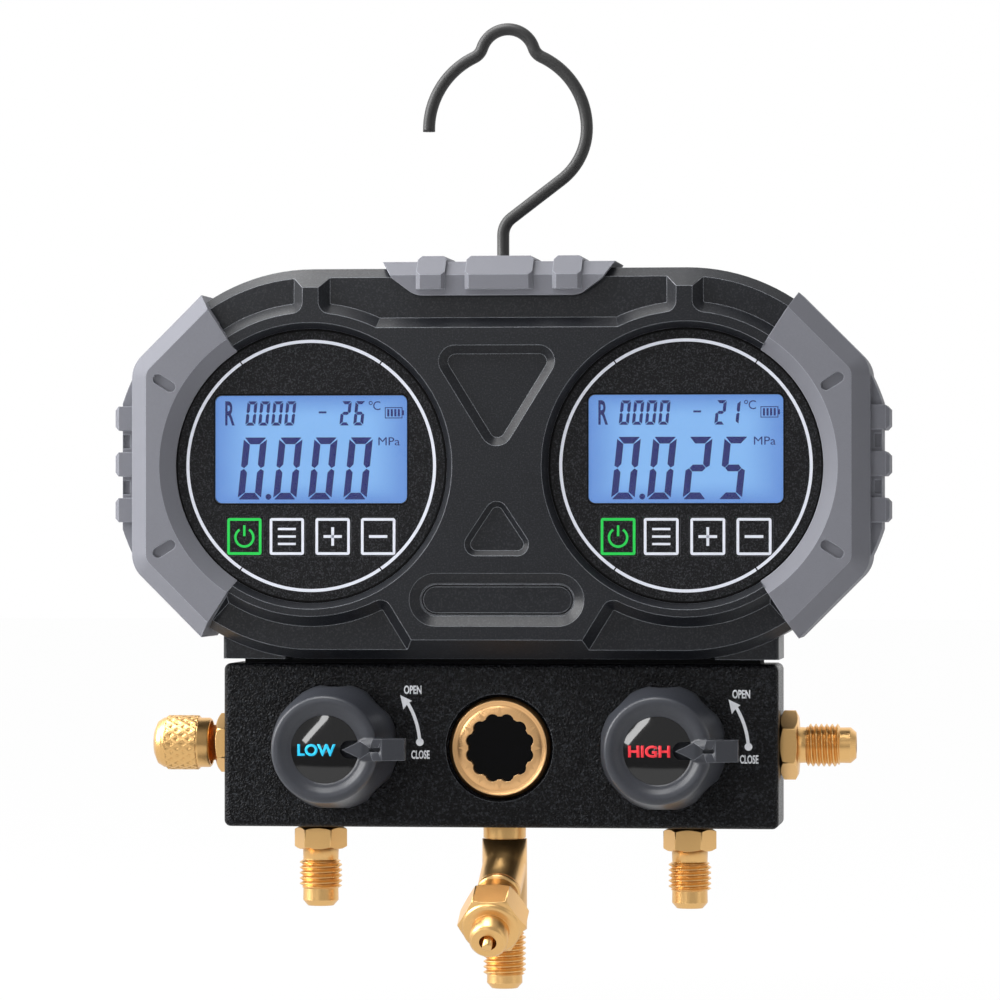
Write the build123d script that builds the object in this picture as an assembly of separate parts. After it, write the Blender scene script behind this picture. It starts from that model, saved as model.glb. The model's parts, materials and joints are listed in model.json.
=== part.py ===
from build123d import *
import math
import os

# Refrigerant manifold gauge: a twin digital gauge head on a two-valve manifold block.
# Millimetres. +X to the right, +Y to the back, +Z up. The origin is the inside top of the
# hook's arch, the point the gauge hangs from.

# ---- Overall layout ----------------------------------------------------------------------
display_height = -112.4      # height of both display centres
display_spread = 48.7        # each display centre's distance from the middle
front_y = -16.0              # front face of the housing
rear_y = 16.0                # back of the housing
seam_y = 0.0                 # where the two shells meet

# ---- Fits and cutting allowances ------------------------------------------------------------
slip_fit = 0.02              # taken off the radius of a part that sits in a hole of its size
cut_past = 1.0               # how far a cutter runs past the face that it opens
sketch_reach = 80.0          # far side of a sketch that another shape trims

# ---- Housing shells ----------------------------------------------------------------------
housing_radius = 50.6        # round ends of the housing outline
housing_rise = 0.6           # housing centre line above the display centres
housing_wall = 2.6
front_bevel_width = 5.0
front_bevel_depth = 6.5
rear_bevel = 2.0
front_thickness = 6.0        # solid depth of the front face, which the recesses are cut into
shell_gap = 0.05             # seating gap between pieces of the head

# ---- Display wells and faceplates --------------------------------------------------------
well_radius = 37.1           # display well at the front face
well_taper = 1.5             # how much smaller it is at the faceplate
well_depth = 2.6
faceplate_thickness = 2.0
ledge_width = 2.0            # ledge that carries the faceplate
window_width = 50.3
window_height = 27.9
window_corner = 1.7
window_rise = 4.3            # window centre above the display centre
lens_recess = 0.1
lens_thickness = 1.2
panel_margin = 1.1           # how far the display panel runs past the window
panel_thickness = 2.8
key_width = 9.4
key_height = 9.9
key_offsets = (-17.45, -6.3, 5.7, 17.6)   # key centres from the display centre
key_names = ("power", "menu", "plus", "minus")
key_drop = 18.3              # key centres below the display centre
key_gap = 0.15
key_travel = 0.4
key_lip = 0.8                # lip above and below that keeps the key in
key_lip_thickness = 0.6
key_stem_radius = 1.5
board_thickness = 1.6
board_width = 60.0
board_height = 56.0
board_corner = 6.0
board_hole_inset = 3.2
board_post_radius = 2.6
switch_radius = 2.2
switch_height = 0.6

# ---- Recesses in the front face ----------------------------------------------------------
recess_depth = 3.4
recess_slope = 2.6           # sideways run of the recess walls
rim_width = 2.6              # face left between a display well and the recess over it
lower_rim_width = 1.9
top_recess_height = 15.5     # flat lower edge of the middle recess, below the housing's top
bridge_centre = 48.5         # rib between the middle and the side recess
bridge_width = 4.2
side_recess_angle = 80.0     # the side recess is drawn from this angle, behind the bridge
recess_corner = 3.0
foot_recess_top = (28.7, -34.4)      # slanted inner side of the lower recesses
foot_recess_end = (21.5, -46.1)
foot_recess_runs = (0.7, 2.5)           # how far the slanted side is drawn on, up and down
foot_recess_heart = 8.0                 # inner corner of its sketch, below the display's centre
large_triangle_top = 31.1
large_triangle_half = 18.4
large_triangle_drop = 29.8
large_triangle_corner = 4.2
large_triangle_slope = 2.2
large_triangle_depth = 2.0
small_triangle_base = -23.3
small_triangle_half = 10.9
small_triangle_rise = 16.5
small_triangle_corner = 3.0
small_triangle_slope = 1.4
small_triangle_depth = 1.4
oblong_height = -34.65
oblong_length = 45.4
oblong_width = 13.7
oblong_slope = 2.6
oblong_depth = 1.8
oblong_groove = 0.6
oblong_groove_inset = 0.3

# ---- Rubber bumpers ----------------------------------------------------------------------
bumper_half_angle = 56.9     # each side bumper spans this far above and below the horizontal
bumper_recess_tuck = 5.5     # how far, in degrees, the recesses run on under a side bumper
bumper_seat_depth = 6.6      # how deep a side bumper sits in the housing's round end
bumper_core_radius = housing_radius - bumper_seat_depth
bumper_inner_radius = 35.4   # inner edge on the faceplate
bumper_band = 3.8            # sloping band round the display
bumper_proud = 1.4           # bumper front ahead of the housing front
bumper_side = housing_radius - 3.3       # flat outer side, from the display centre
bumper_diagonal = housing_radius + 1.4   # slanted sides, from the display centre
bumper_corner = 8.0
bumper_lip_gap = 0.5           # room behind the bumper's inner edge, over the faceplate
bumper_bevel_width = 4.55
bumper_bevel_depth = 5.5
pad_reach = housing_radius - 0.3         # flat outer face of the raised side pad
pad_round = housing_radius + 2.3         # round ends of the side pad
pad_front_y = -9.0
pad_rear_y = 9.0
rib_reach = housing_radius + 1.6         # outer face of the ribs on the side pad
rib_height = 6.3
rib_pitch = 11.95
rib_centre = 0.5             # middle rib above the display centre
rib_slope = 1.0
notch_height = 3.6           # small pocket between two ribs
notch_depth = 0.7
dimple_reach = 37.9          # small capsule recess on the bumper front
dimple_rise = 21.5
dimple_length = 6.5
dimple_width = 2.7
dimple_angle = 32.0
dimple_depth = 0.9

saddle_half = 30.3           # rubber saddle over the top, half its length
saddle_foot_half = 21.3
saddle_drop = 7.2            # lower edge on the front, below the housing's top
saddle_corner = 6.0
saddle_thickness = 1.7
saddle_front = 2.4           # thickness on the recess floor
saddle_rib_height = 1.5
saddle_ribs = ((-17.2, 7.5), (0.5, 17.5), (18.2, 7.5))    # centre and length of each rib

# ---- Hook --------------------------------------------------------------------------------
wire_radius = 1.6
arch_radius = 7.1            # small arch at the top, wire centre line
arch_shift = 1.2             # arch centre, sideways from the stem
loop_radius = 20.7           # big bow of the hook
loop_drop = 18.9             # bow centre below the arch centre
neck_radius = 4.0            # hollow bend between arch and bow
sweep_radius = 16.8          # lower end of the bow
sweep_angle = 52.8
shoulder_radius = 5.5        # bend from the slanted run into the stem
tip_drop = 0.6               # straight bit at the free end
hook_running_gap = 0.06
bush_radius = 4.5
bush_flange_radius = 6.0
bush_flange = 1.5
bush_length = 7.6
hook_head_radius = 3.2
hook_head_length = 2.4
head_gap = 0.2
boss_half = 8.0
saddle_hole_gap = 0.6

# ---- Battery compartment in the back -----------------------------------------------------
battery_radius = 5.2
battery_length = 44.0
battery_count = 4
battery_gap = 0.6
battery_nub = 1.9
tub_wall = 1.6
tub_end_space = 2.4
cover_thickness = 2.2
cover_margin = 3.0
cover_gap = 0.35
cover_corner = 4.0
cover_grip_length = 16.0
cover_grip_width = 3.0
contact_thickness = 0.6
spring_radius = 3.0
spring_wire = 0.4

# ---- Housing foot and screws -------------------------------------------------------------
foot_overhang = 0.1          # foot beyond each end of the block
foot_drop = 0.1              # foot below the housing's round bottom
foot_front_y = -9.4
foot_edge = 1.2
foot_inner = 56.0
gasket_thickness = 1.2
gasket_margin = 5.0
screw_radius = 1.5
screw_head_radius = 2.8
screw_head = 2.0
screw_gap = 0.1
screw_post_radius = 3.6
screw_spots = ((82.7, 20.0), (82.7, -20.0), (28.0, 42.0), (34.0, -41.0))   # on each side
screw_well = 6.0

# ---- Manifold block ----------------------------------------------------------------------
block_half = 72.3
block_height = 42.5
block_front_y = -9.1
block_depth = 25.0
block_edge = 1.7
gallery_radius = 2.5
port_axis_drop = 21.15       # side ports and gallery, below the block's top
bolt_radius = 2.0
bolt_head_radius = 3.5
bolt_head = 3.2
bolt_grip = 10.0
bolt_place = 42.5            # bolts and their posts, from the middle

# ---- Valves and knobs --------------------------------------------------------------------
valve_inset = 29.6           # valve axes, from the block's ends
valve_drop = 21.5
knob_proud = 22.2            # knob front ahead of the block
knob_gap = 0.8               # knob skirt off the block
knob_front_radius = 13.7
knob_waist_radius = 14.3
knob_skirt_radius = 16.3
knob_skirt_height = 3.0
knob_flare_drop = 8.0         # start of the flared skirt, below the knob's front
knob_waist_drop = 4.0         # end of the straight rim, below the knob's front
knob_edge = 0.6               # small edge breaks of the knob
knob_rim = 2.1
knob_dish_depth = 1.6
knob_wall = 2.2
knob_hub_radius = 7.5
knob_web = 7.0
scallop_count = 8
scallop_radius = 24.0
scallop_reach = 15.5
cap_radius = 8.7
cap_thickness = 2.4
cap_dome = 0.9
cap_gap = 0.05
notch_place = 6.3
notch_radius = 2.3
pointer_tip = 4.8
pointer_reach = 20.5
pointer_half = 2.8
pointer_root = 9.5
pointer_proud = 1.0
pointer_depth = 6.5
pointer_slot_length = 3.0
pointer_slot_width = 1.1
pointer_slot_place = 13.2
pointer_slot_depth = 1.2
pointer_end_slope = 3.4       # drop of the slanted end of the finger block
pointer_slope_run = 5.4       # length of that slanted end
bonnet_radius = 9.0
bonnet_flange_radius = 11.5
bonnet_flange = 3.0
bonnet_depth = 6.5
spindle_radius = 4.0
spindle_gap = 0.05
spindle_square = 6.0
ball_radius = 5.6
ball_bore = 2.2
chamber_radius = 7.2
seat_land = 1.2
seat_gap = 0.15
knob_screw_radius = 1.5
knob_screw_head_radius = 3.2
knob_screw_head = 2.0
knob_screw_length = 8.0
seal_section = 1.0
seal_depth = 1.5             # start of the spindle's seal groove, behind the block's front

# ---- Sight glass -------------------------------------------------------------------------
sight_drop = 21.8
sight_counterbore = 13.95
sight_counterbore_depth = 3.6
sight_ring_radius = 13.15
sight_ring_setback = 0.5
sight_ring_step = 11.0
sight_shank_radius = 10.6
sight_shank_length = 8.0
lobe_count = 12
lobe_radius = 1.85
lobe_circle = 7.15
lobe_land_radius = 8.2
sight_face = 2.6
glass_radius = 9.5
glass_thickness = 3.2
sight_bore = 8.0
sight_bore_depth = 16.0

# ---- Flare ports -------------------------------------------------------------------------
thread_radius = 5.55         # 1/4 inch SAE flare, 7/16-20
flare_bore = 2.3
shank_radius = 4.8
shank_length = 8.0
shank_clear = 0.2            # room left at the bottom of a shank's hole
thread_lead = 0.5            # chamfer at both ends of a thread
hose_port_inset = 23.8       # hose ports, from the block's ends
hose_collar = 0.6
hose_hex = 12.0
hose_hex_length = 5.7
hose_neck_radius = 4.7
hose_neck = 2.9
hose_thread = 7.4
hose_nose_radius = 4.65
hose_nose = 4.6
right_hex = 15.6
right_hex_length = 4.6
right_neck = 2.0
right_thread = 8.7
right_nose = 4.2
left_hex = 13.4
left_hex_length = 3.3
left_neck = 3.0
left_thread = 8.0
left_nose = 3.2
flare_nose_end = 3.8
port_cap_radius = 7.15
port_cap_rim_radius = 6.5
port_cap_gap = 0.15
port_cap_start = 5.2         # open end of the cap from the block's side
port_cap_length = 14.9
port_cap_rim = 3.4
port_cap_knurl = 8.0
port_cap_seal = 1.0

# ---- Centre port and bleed valve ---------------------------------------------------------
centre_neck_radius = 5.55
centre_neck = 3.4
centre_body_radius = 5.85
centre_body = 24.4
centre_thread = 11.2
centre_nose = 3.4
branch_drop = 10.4           # branch leaves the body this far below the block
branch_pitch = 31.0          # degrees below level
branch_clock = 2.0           # degrees to the left of straight ahead
branch_radius = 5.75
branch_body = 12.0
branch_joint = 1.6
branch_joint_radius = 5.75
bleed_neck_radius = 5.3
bleed_neck = 6.2
bleed_hex = 15.5
bleed_hex_length = 8.4
bleed_land_radius = 7.5
bleed_land = 1.2
bleed_nose_radius = 4.95
bleed_nose = 5.6
bleed_bore = 2.25
bleed_chamber = 3.4
bleed_front_wall = 4.5
pin_radius = 1.25
pin_proud = 2.3
pin_travel = 1.5
pin_flange_radius = 2.9
pin_flange = 1.2
bleed_spring_radius = 2.5
bleed_spring_wire = 0.45

# ---- Pressure sensors --------------------------------------------------------------------
sensor_place = 22.0
sensor_radius = 6.0
sensor_height = 12.0
sensor_shank_radius = 3.5
sensor_shank = 6.0
sensor_gap = 0.3            # hole in the housing round a sensor

# ---- Worked out from the sizes above -----------------------------------------------------
housing_height = display_height + housing_rise
recess_y = front_y + recess_depth
inner_y = front_y + front_thickness
faceplate_y = front_y + well_depth
faceplate_radius = well_radius - well_taper
ledge_y = faceplate_y + faceplate_thickness
block_mid_y = block_front_y + block_depth / 2
housing_top = housing_height + housing_radius
foot_bottom_z = housing_height - housing_radius - foot_drop
foot_half = block_half + foot_overhang
block_top_z = foot_bottom_z - gasket_thickness
block_bottom_z = block_top_z - block_height
gallery_z = block_top_z - port_axis_drop
valve_z = block_top_z - valve_drop
sight_z = block_top_z - sight_drop
valve_spread = block_half - valve_inset
hose_port_place = block_half - hose_port_inset
bumper_y = front_y - bumper_proud
mid_y = 0.0                  # the hook hangs in the middle of the depth


# ---- Drawing aids ------------------------------------------------------------------------
def facing_front(x, y, z):
    """Place whose local z points to the front, with local x to the right and local y up."""
    return Plane(origin=(x, y, z), x_dir=(1, 0, 0), z_dir=(0, -1, 0))


def slab(sketch, y_front, y_back, draft=0.0):
    """Sketch drawn in X and Z, made solid between two depths, narrowing to the front by the draft."""
    return extrude(facing_front(0, y_back, 0) * sketch, amount=y_back - y_front, taper=draft)


def rear_edge(sketch):
    """Last part of a body at the back, narrowing at 45 degrees."""
    return extrude(facing_front(0, rear_y - rear_bevel, 0) * sketch, amount=-rear_bevel, taper=45)


def sunk(sketch, depth, slope):
    """Cutter that starts at the housing's front face and narrows by the slope down to its depth."""
    start = slab(sketch, front_y - cut_past, front_y)
    taper = math.degrees(math.atan2(slope, depth))
    return start + extrude(facing_front(0, front_y, 0) * sketch, amount=-depth, taper=taper)


def turned(points, place=Location()):
    """Turned solid from (radius, height) points about the local z axis."""
    profile = make_face(Plane.XZ * Polyline(*points, close=True))
    return place * revolve(profile, Axis.Z)


def turned_ring(section_radius, ring_radius, place=Location()):
    """O-ring about the local z axis."""
    return place * Torus(ring_radius, section_radius)


def hex_bar(flats, low, high, chamfer_low=True, chamfer_high=True):
    """Hexagon bar along z with its corners turned off at the ends."""
    corner = flats / math.sqrt(3)
    bar = extrude(RegularPolygon(corner, 6), amount=high - low)
    bar = Pos(0, 0, low) * bar
    drop = (corner - flats / 2 * 0.97) * math.tan(math.radians(30))
    start = flats / 2 * 0.97 if chamfer_low else corner + 0.1
    end = flats / 2 * 0.97 if chamfer_high else corner + 0.1
    outline = [(0, low), (start, low), (corner + 0.01, low + drop)]
    outline += [(corner + 0.01, high - drop), (end, high), (0, high)]
    return bar & turned(outline)


def disc(radius, y_front, y_back, x=0.0, z=0.0):
    """Round bar along Y between two depths."""
    return Pos(x, 0, z) * slab(Circle(radius), y_front, y_back)


def cone_along_y(front_radius, y_front, back_radius, y_back, x=0.0, z=0.0):
    """Cone frustum along Y between two depths."""
    outline = [(0, 0), (back_radius, 0), (front_radius, y_back - y_front), (0, y_back - y_front)]
    return turned(outline, facing_front(x, y_back, z).location)


def sector(radius, start_degrees, end_degrees):
    """Wedge about the sketch origin, wide enough to hold the given radius."""
    middle = (start_degrees + end_degrees) / 2
    reach = radius / math.cos(math.radians((end_degrees - start_degrees) / 2))
    points = [(0, 0)]
    for degrees, length in ((start_degrees, radius), (middle, reach), (end_degrees, radius)):
        angle = math.radians(degrees)
        points.append((length * math.cos(angle), length * math.sin(angle)))
    return make_face(Polyline(*points, close=True))


def mirrored(shape):
    """The same shape on the other side of the middle plane."""
    return mirror(shape, about=Plane.YZ)


def save(shape, name):
    """Write one node, as one or more separate solids."""
    solids = shape.solids()
    body = solids[0] if len(solids) == 1 else Compound(children=list(solids))
    export_step(body, os.path.join("parts", name + ".step"))


# ---- Housing -----------------------------------------------------------------------------
def housing_outline(inset=0.0):
    """Rounded oblong outline of the gauge head."""
    outline = SlotCenterToCenter(2 * display_spread, 2 * (housing_radius - inset))
    return Pos(0, housing_height) * outline


def left_display(sketch):
    """A sketch placed on the left display centre."""
    return Pos(-display_spread, display_height) * sketch


def both_sides(sketch):
    """A left-hand sketch together with its mirror image."""
    return sketch + mirror(sketch, about=Plane.YZ)


def bumper_wedge():
    """Fan about the left display centre that the left bumper fills."""
    return left_display(sector(90, 180 - bumper_half_angle, 180 + bumper_half_angle))


def bumper_seats(y_front, y_back, ring_radius):
    """Cutter for both bumper seats between two depths, outside the given radius."""
    seat = bumper_wedge() - left_display(Circle(ring_radius))
    return slab(both_sides(seat), y_front, y_back)


def top_middle_recess():
    """Long recess above the displays, between the two bridges."""
    half = bridge_centre - bridge_width / 2
    rim = well_radius + rim_width
    low = housing_top - top_recess_height
    box = Pos(0, low + top_recess_height) * Rectangle(2 * half, 2 * top_recess_height)
    for side in (-1, 1):
        box -= Pos(side * display_spread, display_height) * Circle(rim)
    return box


def top_side_recess():
    """Arc-shaped recess between a bridge and the left bumper."""
    rim = well_radius + rim_width
    start = bridge_centre + bridge_width / 2
    end = 180 - bumper_half_angle + bumper_recess_tuck
    band = sector(sketch_reach, side_recess_angle, end) - Circle(rim)
    half = Pos(-start - sketch_reach, display_height) * Rectangle(2 * sketch_reach, 2 * sketch_reach)
    return left_display(band) & half


def lower_recess():
    """Recess under the left display, with a slanted inner side."""
    rim = well_radius + lower_rim_width
    run = (foot_recess_top[0] - foot_recess_end[0], foot_recess_end[1] - foot_recess_top[1])
    above, below = foot_recess_runs
    upper = (-foot_recess_top[0] - above * run[0], foot_recess_top[1] - above * run[1])
    lower = (-foot_recess_top[0] + below * run[0], foot_recess_top[1] + below * run[1])
    end = math.radians(180 + bumper_half_angle - bumper_recess_tuck)
    outer = (-display_spread + sketch_reach * math.cos(end), sketch_reach * math.sin(end))
    corners = [upper, (-display_spread, -foot_recess_heart), outer, (-display_spread, -sketch_reach), lower]
    shape = Pos(0, display_height) * make_face(Polyline(*corners, close=True))
    return shape - left_display(Circle(rim))


def rounded(sketch, radius, x, z):
    """Round the sketch corner that is nearest to a point."""
    corner = sketch.vertices().sort_by_distance((x, z, 0))[0]
    return fillet(corner, radius)


def triangle(half, level, drop):
    """Triangle with a level side and its point straight below (or above, for a negative drop)."""
    z = display_height + level
    return make_face(Polyline((-half, z), (half, z), (0, z - drop), close=True))


def front_cutters():
    """Every recess in the front face, as cutters."""
    rim_z = display_height + well_radius + rim_width
    half = bridge_centre - bridge_width / 2
    middle = top_middle_recess()
    middle = rounded(middle, recess_corner, -half, rim_z)
    middle = rounded(middle, recess_corner, half, rim_z)
    side = rounded(top_side_recess(), recess_corner, -half - bridge_width, rim_z)
    foot_x, foot_z = foot_recess_top
    foot = rounded(lower_recess(), recess_corner, -foot_x, display_height + foot_z)
    cutters = [sunk(middle, recess_depth, recess_slope)]
    for sketch in (side, foot):
        for turn in (sketch, mirror(sketch, about=Plane.YZ)):
            cutters.append(sunk(turn, recess_depth, recess_slope))
    large = triangle(large_triangle_half, large_triangle_top, large_triangle_drop)
    large = fillet(large.vertices(), large_triangle_corner)
    cutters.append(sunk(large, large_triangle_depth, large_triangle_slope))
    small = triangle(small_triangle_half, small_triangle_base, -small_triangle_rise)
    small = fillet(small.vertices(), small_triangle_corner)
    cutters.append(sunk(small, small_triangle_depth, small_triangle_slope))
    oblong = Pos(0, display_height + oblong_height) * SlotOverall(oblong_length, oblong_width)
    cutters.append(sunk(oblong, oblong_depth, oblong_slope))
    inset = oblong_slope + oblong_groove_inset
    outer = SlotOverall(oblong_length - 2 * inset, oblong_width - 2 * inset)
    inner_inset = inset + oblong_groove
    inner = SlotOverall(oblong_length - 2 * inner_inset, oblong_width - 2 * inner_inset)
    groove = Pos(0, display_height + oblong_height) * (outer - inner)
    cutters.append(slab(groove, front_y, front_y + oblong_depth + oblong_groove))
    return cutters


def hook_boss(y_front, y_back):
    """Half of the boss under the top wall that carries the hook's bush."""
    low = housing_top - bush_length
    high = housing_top - housing_wall
    sketch = Pos(0, (low + high + 1) / 2) * Rectangle(2 * boss_half, high + 1 - low)
    return slab(sketch, y_front, y_back)


def hook_hole():
    """Hole for the bush through the top wall and the boss."""
    hole = Cylinder(bush_radius + shell_gap, 2 * bush_length)
    return Pos(0, mid_y, housing_top) * hole


def screw_places():
    """Housing screw places about the middle and the display height."""
    return [(side * x, z) for side in (-1, 1) for x, z in screw_spots]


def sensor_hole(side):
    """Hole in the housing's floor for a pressure sensor."""
    low = foot_bottom_z
    hole = Cylinder(sensor_radius + sensor_gap, 4 * housing_wall)
    return Pos(side * sensor_place, block_mid_y, low) * hole


def front_shell():
    """Front half of the housing."""
    bevel_y = front_y + front_bevel_depth
    angle = math.degrees(math.atan2(front_bevel_width, front_bevel_depth))
    shell = slab(housing_outline(), bevel_y, seam_y)
    shell += slab(housing_outline(), front_y, bevel_y, angle)
    shell -= bumper_seats(front_y - 1, seam_y, bumper_core_radius)
    shell -= bumper_seats(front_y - 1, faceplate_y, faceplate_radius)
    shell -= slab(inner_outline(), inner_y, seam_y)
    for cutter in front_cutters():
        shell -= cutter
    for side in (-1, 1):
        x, z = side * display_spread, display_height
        shell -= cone_along_y(well_radius, front_y, faceplate_radius, faceplate_y, x, z)
        shell -= disc(faceplate_radius, faceplate_y, ledge_y, x, z)
        shell -= disc(faceplate_radius - ledge_width, ledge_y, inner_y, x, z)
    shell += hook_boss(inner_y + 2.0, seam_y)
    shell -= hook_hole()
    for x, z in screw_places():
        post = disc(screw_post_radius, inner_y - 0.5, seam_y, x, display_height + z)
        shell += post & slab(housing_outline(0.5), inner_y - 1, seam_y)
        shell -= disc(screw_radius, inner_y + 1, seam_y, x, display_height + z)
    for side in (-1, 1):
        shell -= sensor_hole(side)
        for x, z in board_holes():
            px = side * display_spread + x
            shell += disc(board_post_radius, inner_y - 0.2, board_front(), px, display_height + z)
            shell -= disc(screw_radius, inner_y, board_front(), px, display_height + z)
    return shell


def inner_outline():
    """Outline of the hollow inside the housing, kept inside the bumper seats too."""
    hollow = housing_outline(housing_wall)
    seat = bumper_wedge() - left_display(Circle(bumper_core_radius - housing_wall))
    return hollow - both_sides(seat)


def foot_sketch(inner):
    """Rectangular foot under the round outline, outside the given half width."""
    top = foot_bottom_z + 20
    low = foot_bottom_z
    foot = Pos(0, (top + low) / 2) * Rectangle(2 * foot_half, top - low)
    if inner > 0:
        foot -= Pos(0, (top + low) / 2) * Rectangle(2 * inner, top - low + 1)
        foot -= housing_outline(-shell_gap)
    return foot


def tub_sizes():
    """Width, height and front depth of the battery tub."""
    width = battery_count * (2 * battery_radius + battery_gap) + battery_gap
    height = battery_length + 2 * tub_end_space
    floor_y = rear_y - cover_thickness - 2 * battery_radius - battery_gap
    return width, height, floor_y


def cover_sketch(gap=0.0):
    """Outline of the battery cover, or of its seat when a gap is given."""
    width, height, _ = tub_sizes()
    rim = 2 * (cover_margin + gap)
    return Pos(0, display_height) * RectangleRounded(width + rim, height + rim, cover_corner)


def rear_shell():
    """Back half of the housing with its foot and battery tub."""
    outline = housing_outline() + foot_sketch(0)
    shell = slab(outline, seam_y, rear_y - rear_bevel)
    shell += rear_edge(outline)
    corners = slab(foot_sketch(foot_inner), foot_front_y, seam_y)
    edge = [e for e in corners.edges().filter_by(Axis.Z) if abs(e.center().X) > foot_half - 1]
    front_edges = [e for e in edge if e.center().Y < foot_front_y + 0.1]
    shell += fillet(front_edges, foot_edge)
    shell -= bumper_seats(seam_y, rear_y + 1, bumper_core_radius)
    width, height, floor_y = tub_sizes()
    hollow = slab(inner_outline(), seam_y, rear_y - housing_wall)
    tub_box = Pos(0, display_height) * Rectangle(width + 2 * tub_wall, height + 2 * tub_wall)
    hollow -= slab(tub_box, floor_y - tub_wall, rear_y)
    shell -= hollow
    shell -= slab(Pos(0, display_height) * Rectangle(width, height), floor_y, rear_y + 1)
    shell -= slab(cover_sketch(cover_gap), rear_y - cover_thickness - shell_gap, rear_y + 1)
    shell += hook_boss(seam_y, rear_y - housing_wall - 3.0)
    shell -= hook_hole()
    for x, z in screw_places():
        post = disc(screw_post_radius, seam_y, rear_y - housing_wall + 0.5, x, display_height + z)
        shell += post & slab(housing_outline(0.5), seam_y, rear_y)
        shell -= disc(screw_radius + screw_gap, seam_y, rear_y, x, display_height + z)
        head_y = rear_y - screw_well
        shell -= disc(screw_head_radius + screw_gap, head_y, rear_y + 1, x, display_height + z)
    for side in (-1, 1):
        low = foot_bottom_z
        bolt = Cylinder(bolt_radius + screw_gap, 4 * housing_wall)
        shell -= Pos(side * bolt_place, block_mid_y, low) * bolt
        shell -= sensor_hole(side)
    return shell


# ---- Bumpers -----------------------------------------------------------------------------
def bumper_silhouette(inset=0.0):
    """Outer outline of the left bumper about its display centre, with the corner rounds."""
    side = bumper_side - inset
    slant = (bumper_diagonal - inset) * math.sqrt(2)
    high = slant - side
    points = [(-side, -high), (-side, high), (0, slant), (0, -slant)]
    shape = make_face(Polyline(*points, close=True))
    corners = [v for v in shape.vertices() if v.X < -1]
    return fillet(corners, bumper_corner)


def side_bumper():
    """Left rubber bumper."""
    bevel_y = bumper_y + bumper_bevel_depth
    angle = math.degrees(math.atan2(bumper_bevel_width, bumper_bevel_depth))
    outline = left_display(bumper_silhouette())
    body = slab(outline, bevel_y, rear_y - rear_bevel) + slab(outline, bumper_y, bevel_y, angle)
    body += rear_edge(outline)
    pad = Circle(pad_round) & (Pos(-pad_reach + 20, 0) * Rectangle(40, 60))
    body += slab(left_display(pad), pad_front_y, pad_rear_y)
    for index in (-1, 0, 1):
        body += pad_rib(rib_centre + index * rib_pitch)
    for index in (-0.5, 0.5):
        centre = display_height + rib_centre + index * rib_pitch
        x = -display_spread - (bumper_side + pad_reach) / 2 - 0.4
        notch = Pos(x, centre) * Rectangle(pad_reach - bumper_side - 1.2, notch_height)
        body -= slab(notch, pad_front_y, pad_front_y + notch_depth)
    band = bumper_inner_radius + bumper_band
    x, z = -display_spread, display_height
    body -= cone_along_y(band, bumper_y, bumper_inner_radius, faceplate_y, x, z)
    body -= disc(faceplate_radius, faceplate_y, faceplate_y + bumper_lip_gap, x, z)
    body -= disc(bumper_core_radius + shell_gap, faceplate_y, rear_y + cut_past, x, z)
    for side in (-1, 1):
        x = -display_spread - dimple_reach
        place = Pos(x, display_height + side * dimple_rise) * Rot(0, 0, -side * dimple_angle)
        dimple = place * SlotOverall(dimple_length, dimple_width)
        body -= slab(dimple, bumper_y - 1, bumper_y + dimple_depth)
    return body & slab(bumper_wedge(), bumper_y - 1, rear_y + 1)


def pad_rib(level):
    """One raised rib on the left bumper's side pad, with sloping ends."""
    z = display_height + level
    half = rib_height / 2
    root = -display_spread - bumper_side + 1.0
    tip = -display_spread - rib_reach
    points = [(root, z - half), (tip + rib_slope, z - half), (tip, z - half + rib_slope)]
    points += [(tip, z + half - rib_slope), (tip + rib_slope, z + half), (root, z + half)]
    outline = make_face(Polyline(*points, close=True))
    rib = slab(outline, pad_front_y - 1.0, pad_rear_y + 1.0)
    edges = [e for e in rib.edges().filter_by(Axis.Z) if e.center().X < tip + 0.2]
    return chamfer(edges, rib_slope)


def saddle_section(lift):
    """Side view of the rubber saddle: it climbs the front recess, the bevel and the top."""
    floor = recess_y
    top = housing_top
    crest = top + saddle_thickness + lift
    skin = saddle_front + lift
    bevel_y = front_y + front_bevel_depth
    meet = top - front_bevel_width * (front_bevel_depth - recess_depth) / front_bevel_depth
    foot = housing_top - saddle_drop
    start = foot if lift == 0 else foot + 1.6
    back = rear_y - rear_bevel
    points = [
        (floor, start),
        (floor - skin, start),
        (floor - skin, meet + 0.5),
        (bevel_y - 1.2, crest),
        (back - 0.7, crest),
        (rear_y, top - rear_bevel + saddle_thickness),
        (rear_y, top - rear_bevel),
        (back, top),
        (bevel_y, top),
        (floor, meet),
    ]
    return make_face(Plane.YZ * Polyline(*points, close=True))


def saddle_outline():
    """Front view of the rubber saddle."""
    foot = housing_top - saddle_drop
    top = housing_top + saddle_thickness
    points = [
        (-saddle_foot_half, foot),
        (saddle_foot_half, foot),
        (saddle_half - 3, top - 4.5),
        (saddle_half, top),
        (saddle_half, top + 5),
        (-saddle_half, top + 5),
        (-saddle_half, top),
        (-saddle_half + 3, top - 4.5),
    ]
    shape = make_face(Polyline(*points, close=True))
    shape = rounded(shape, saddle_corner, -saddle_foot_half, foot)
    return rounded(shape, saddle_corner, saddle_foot_half, foot)


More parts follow.
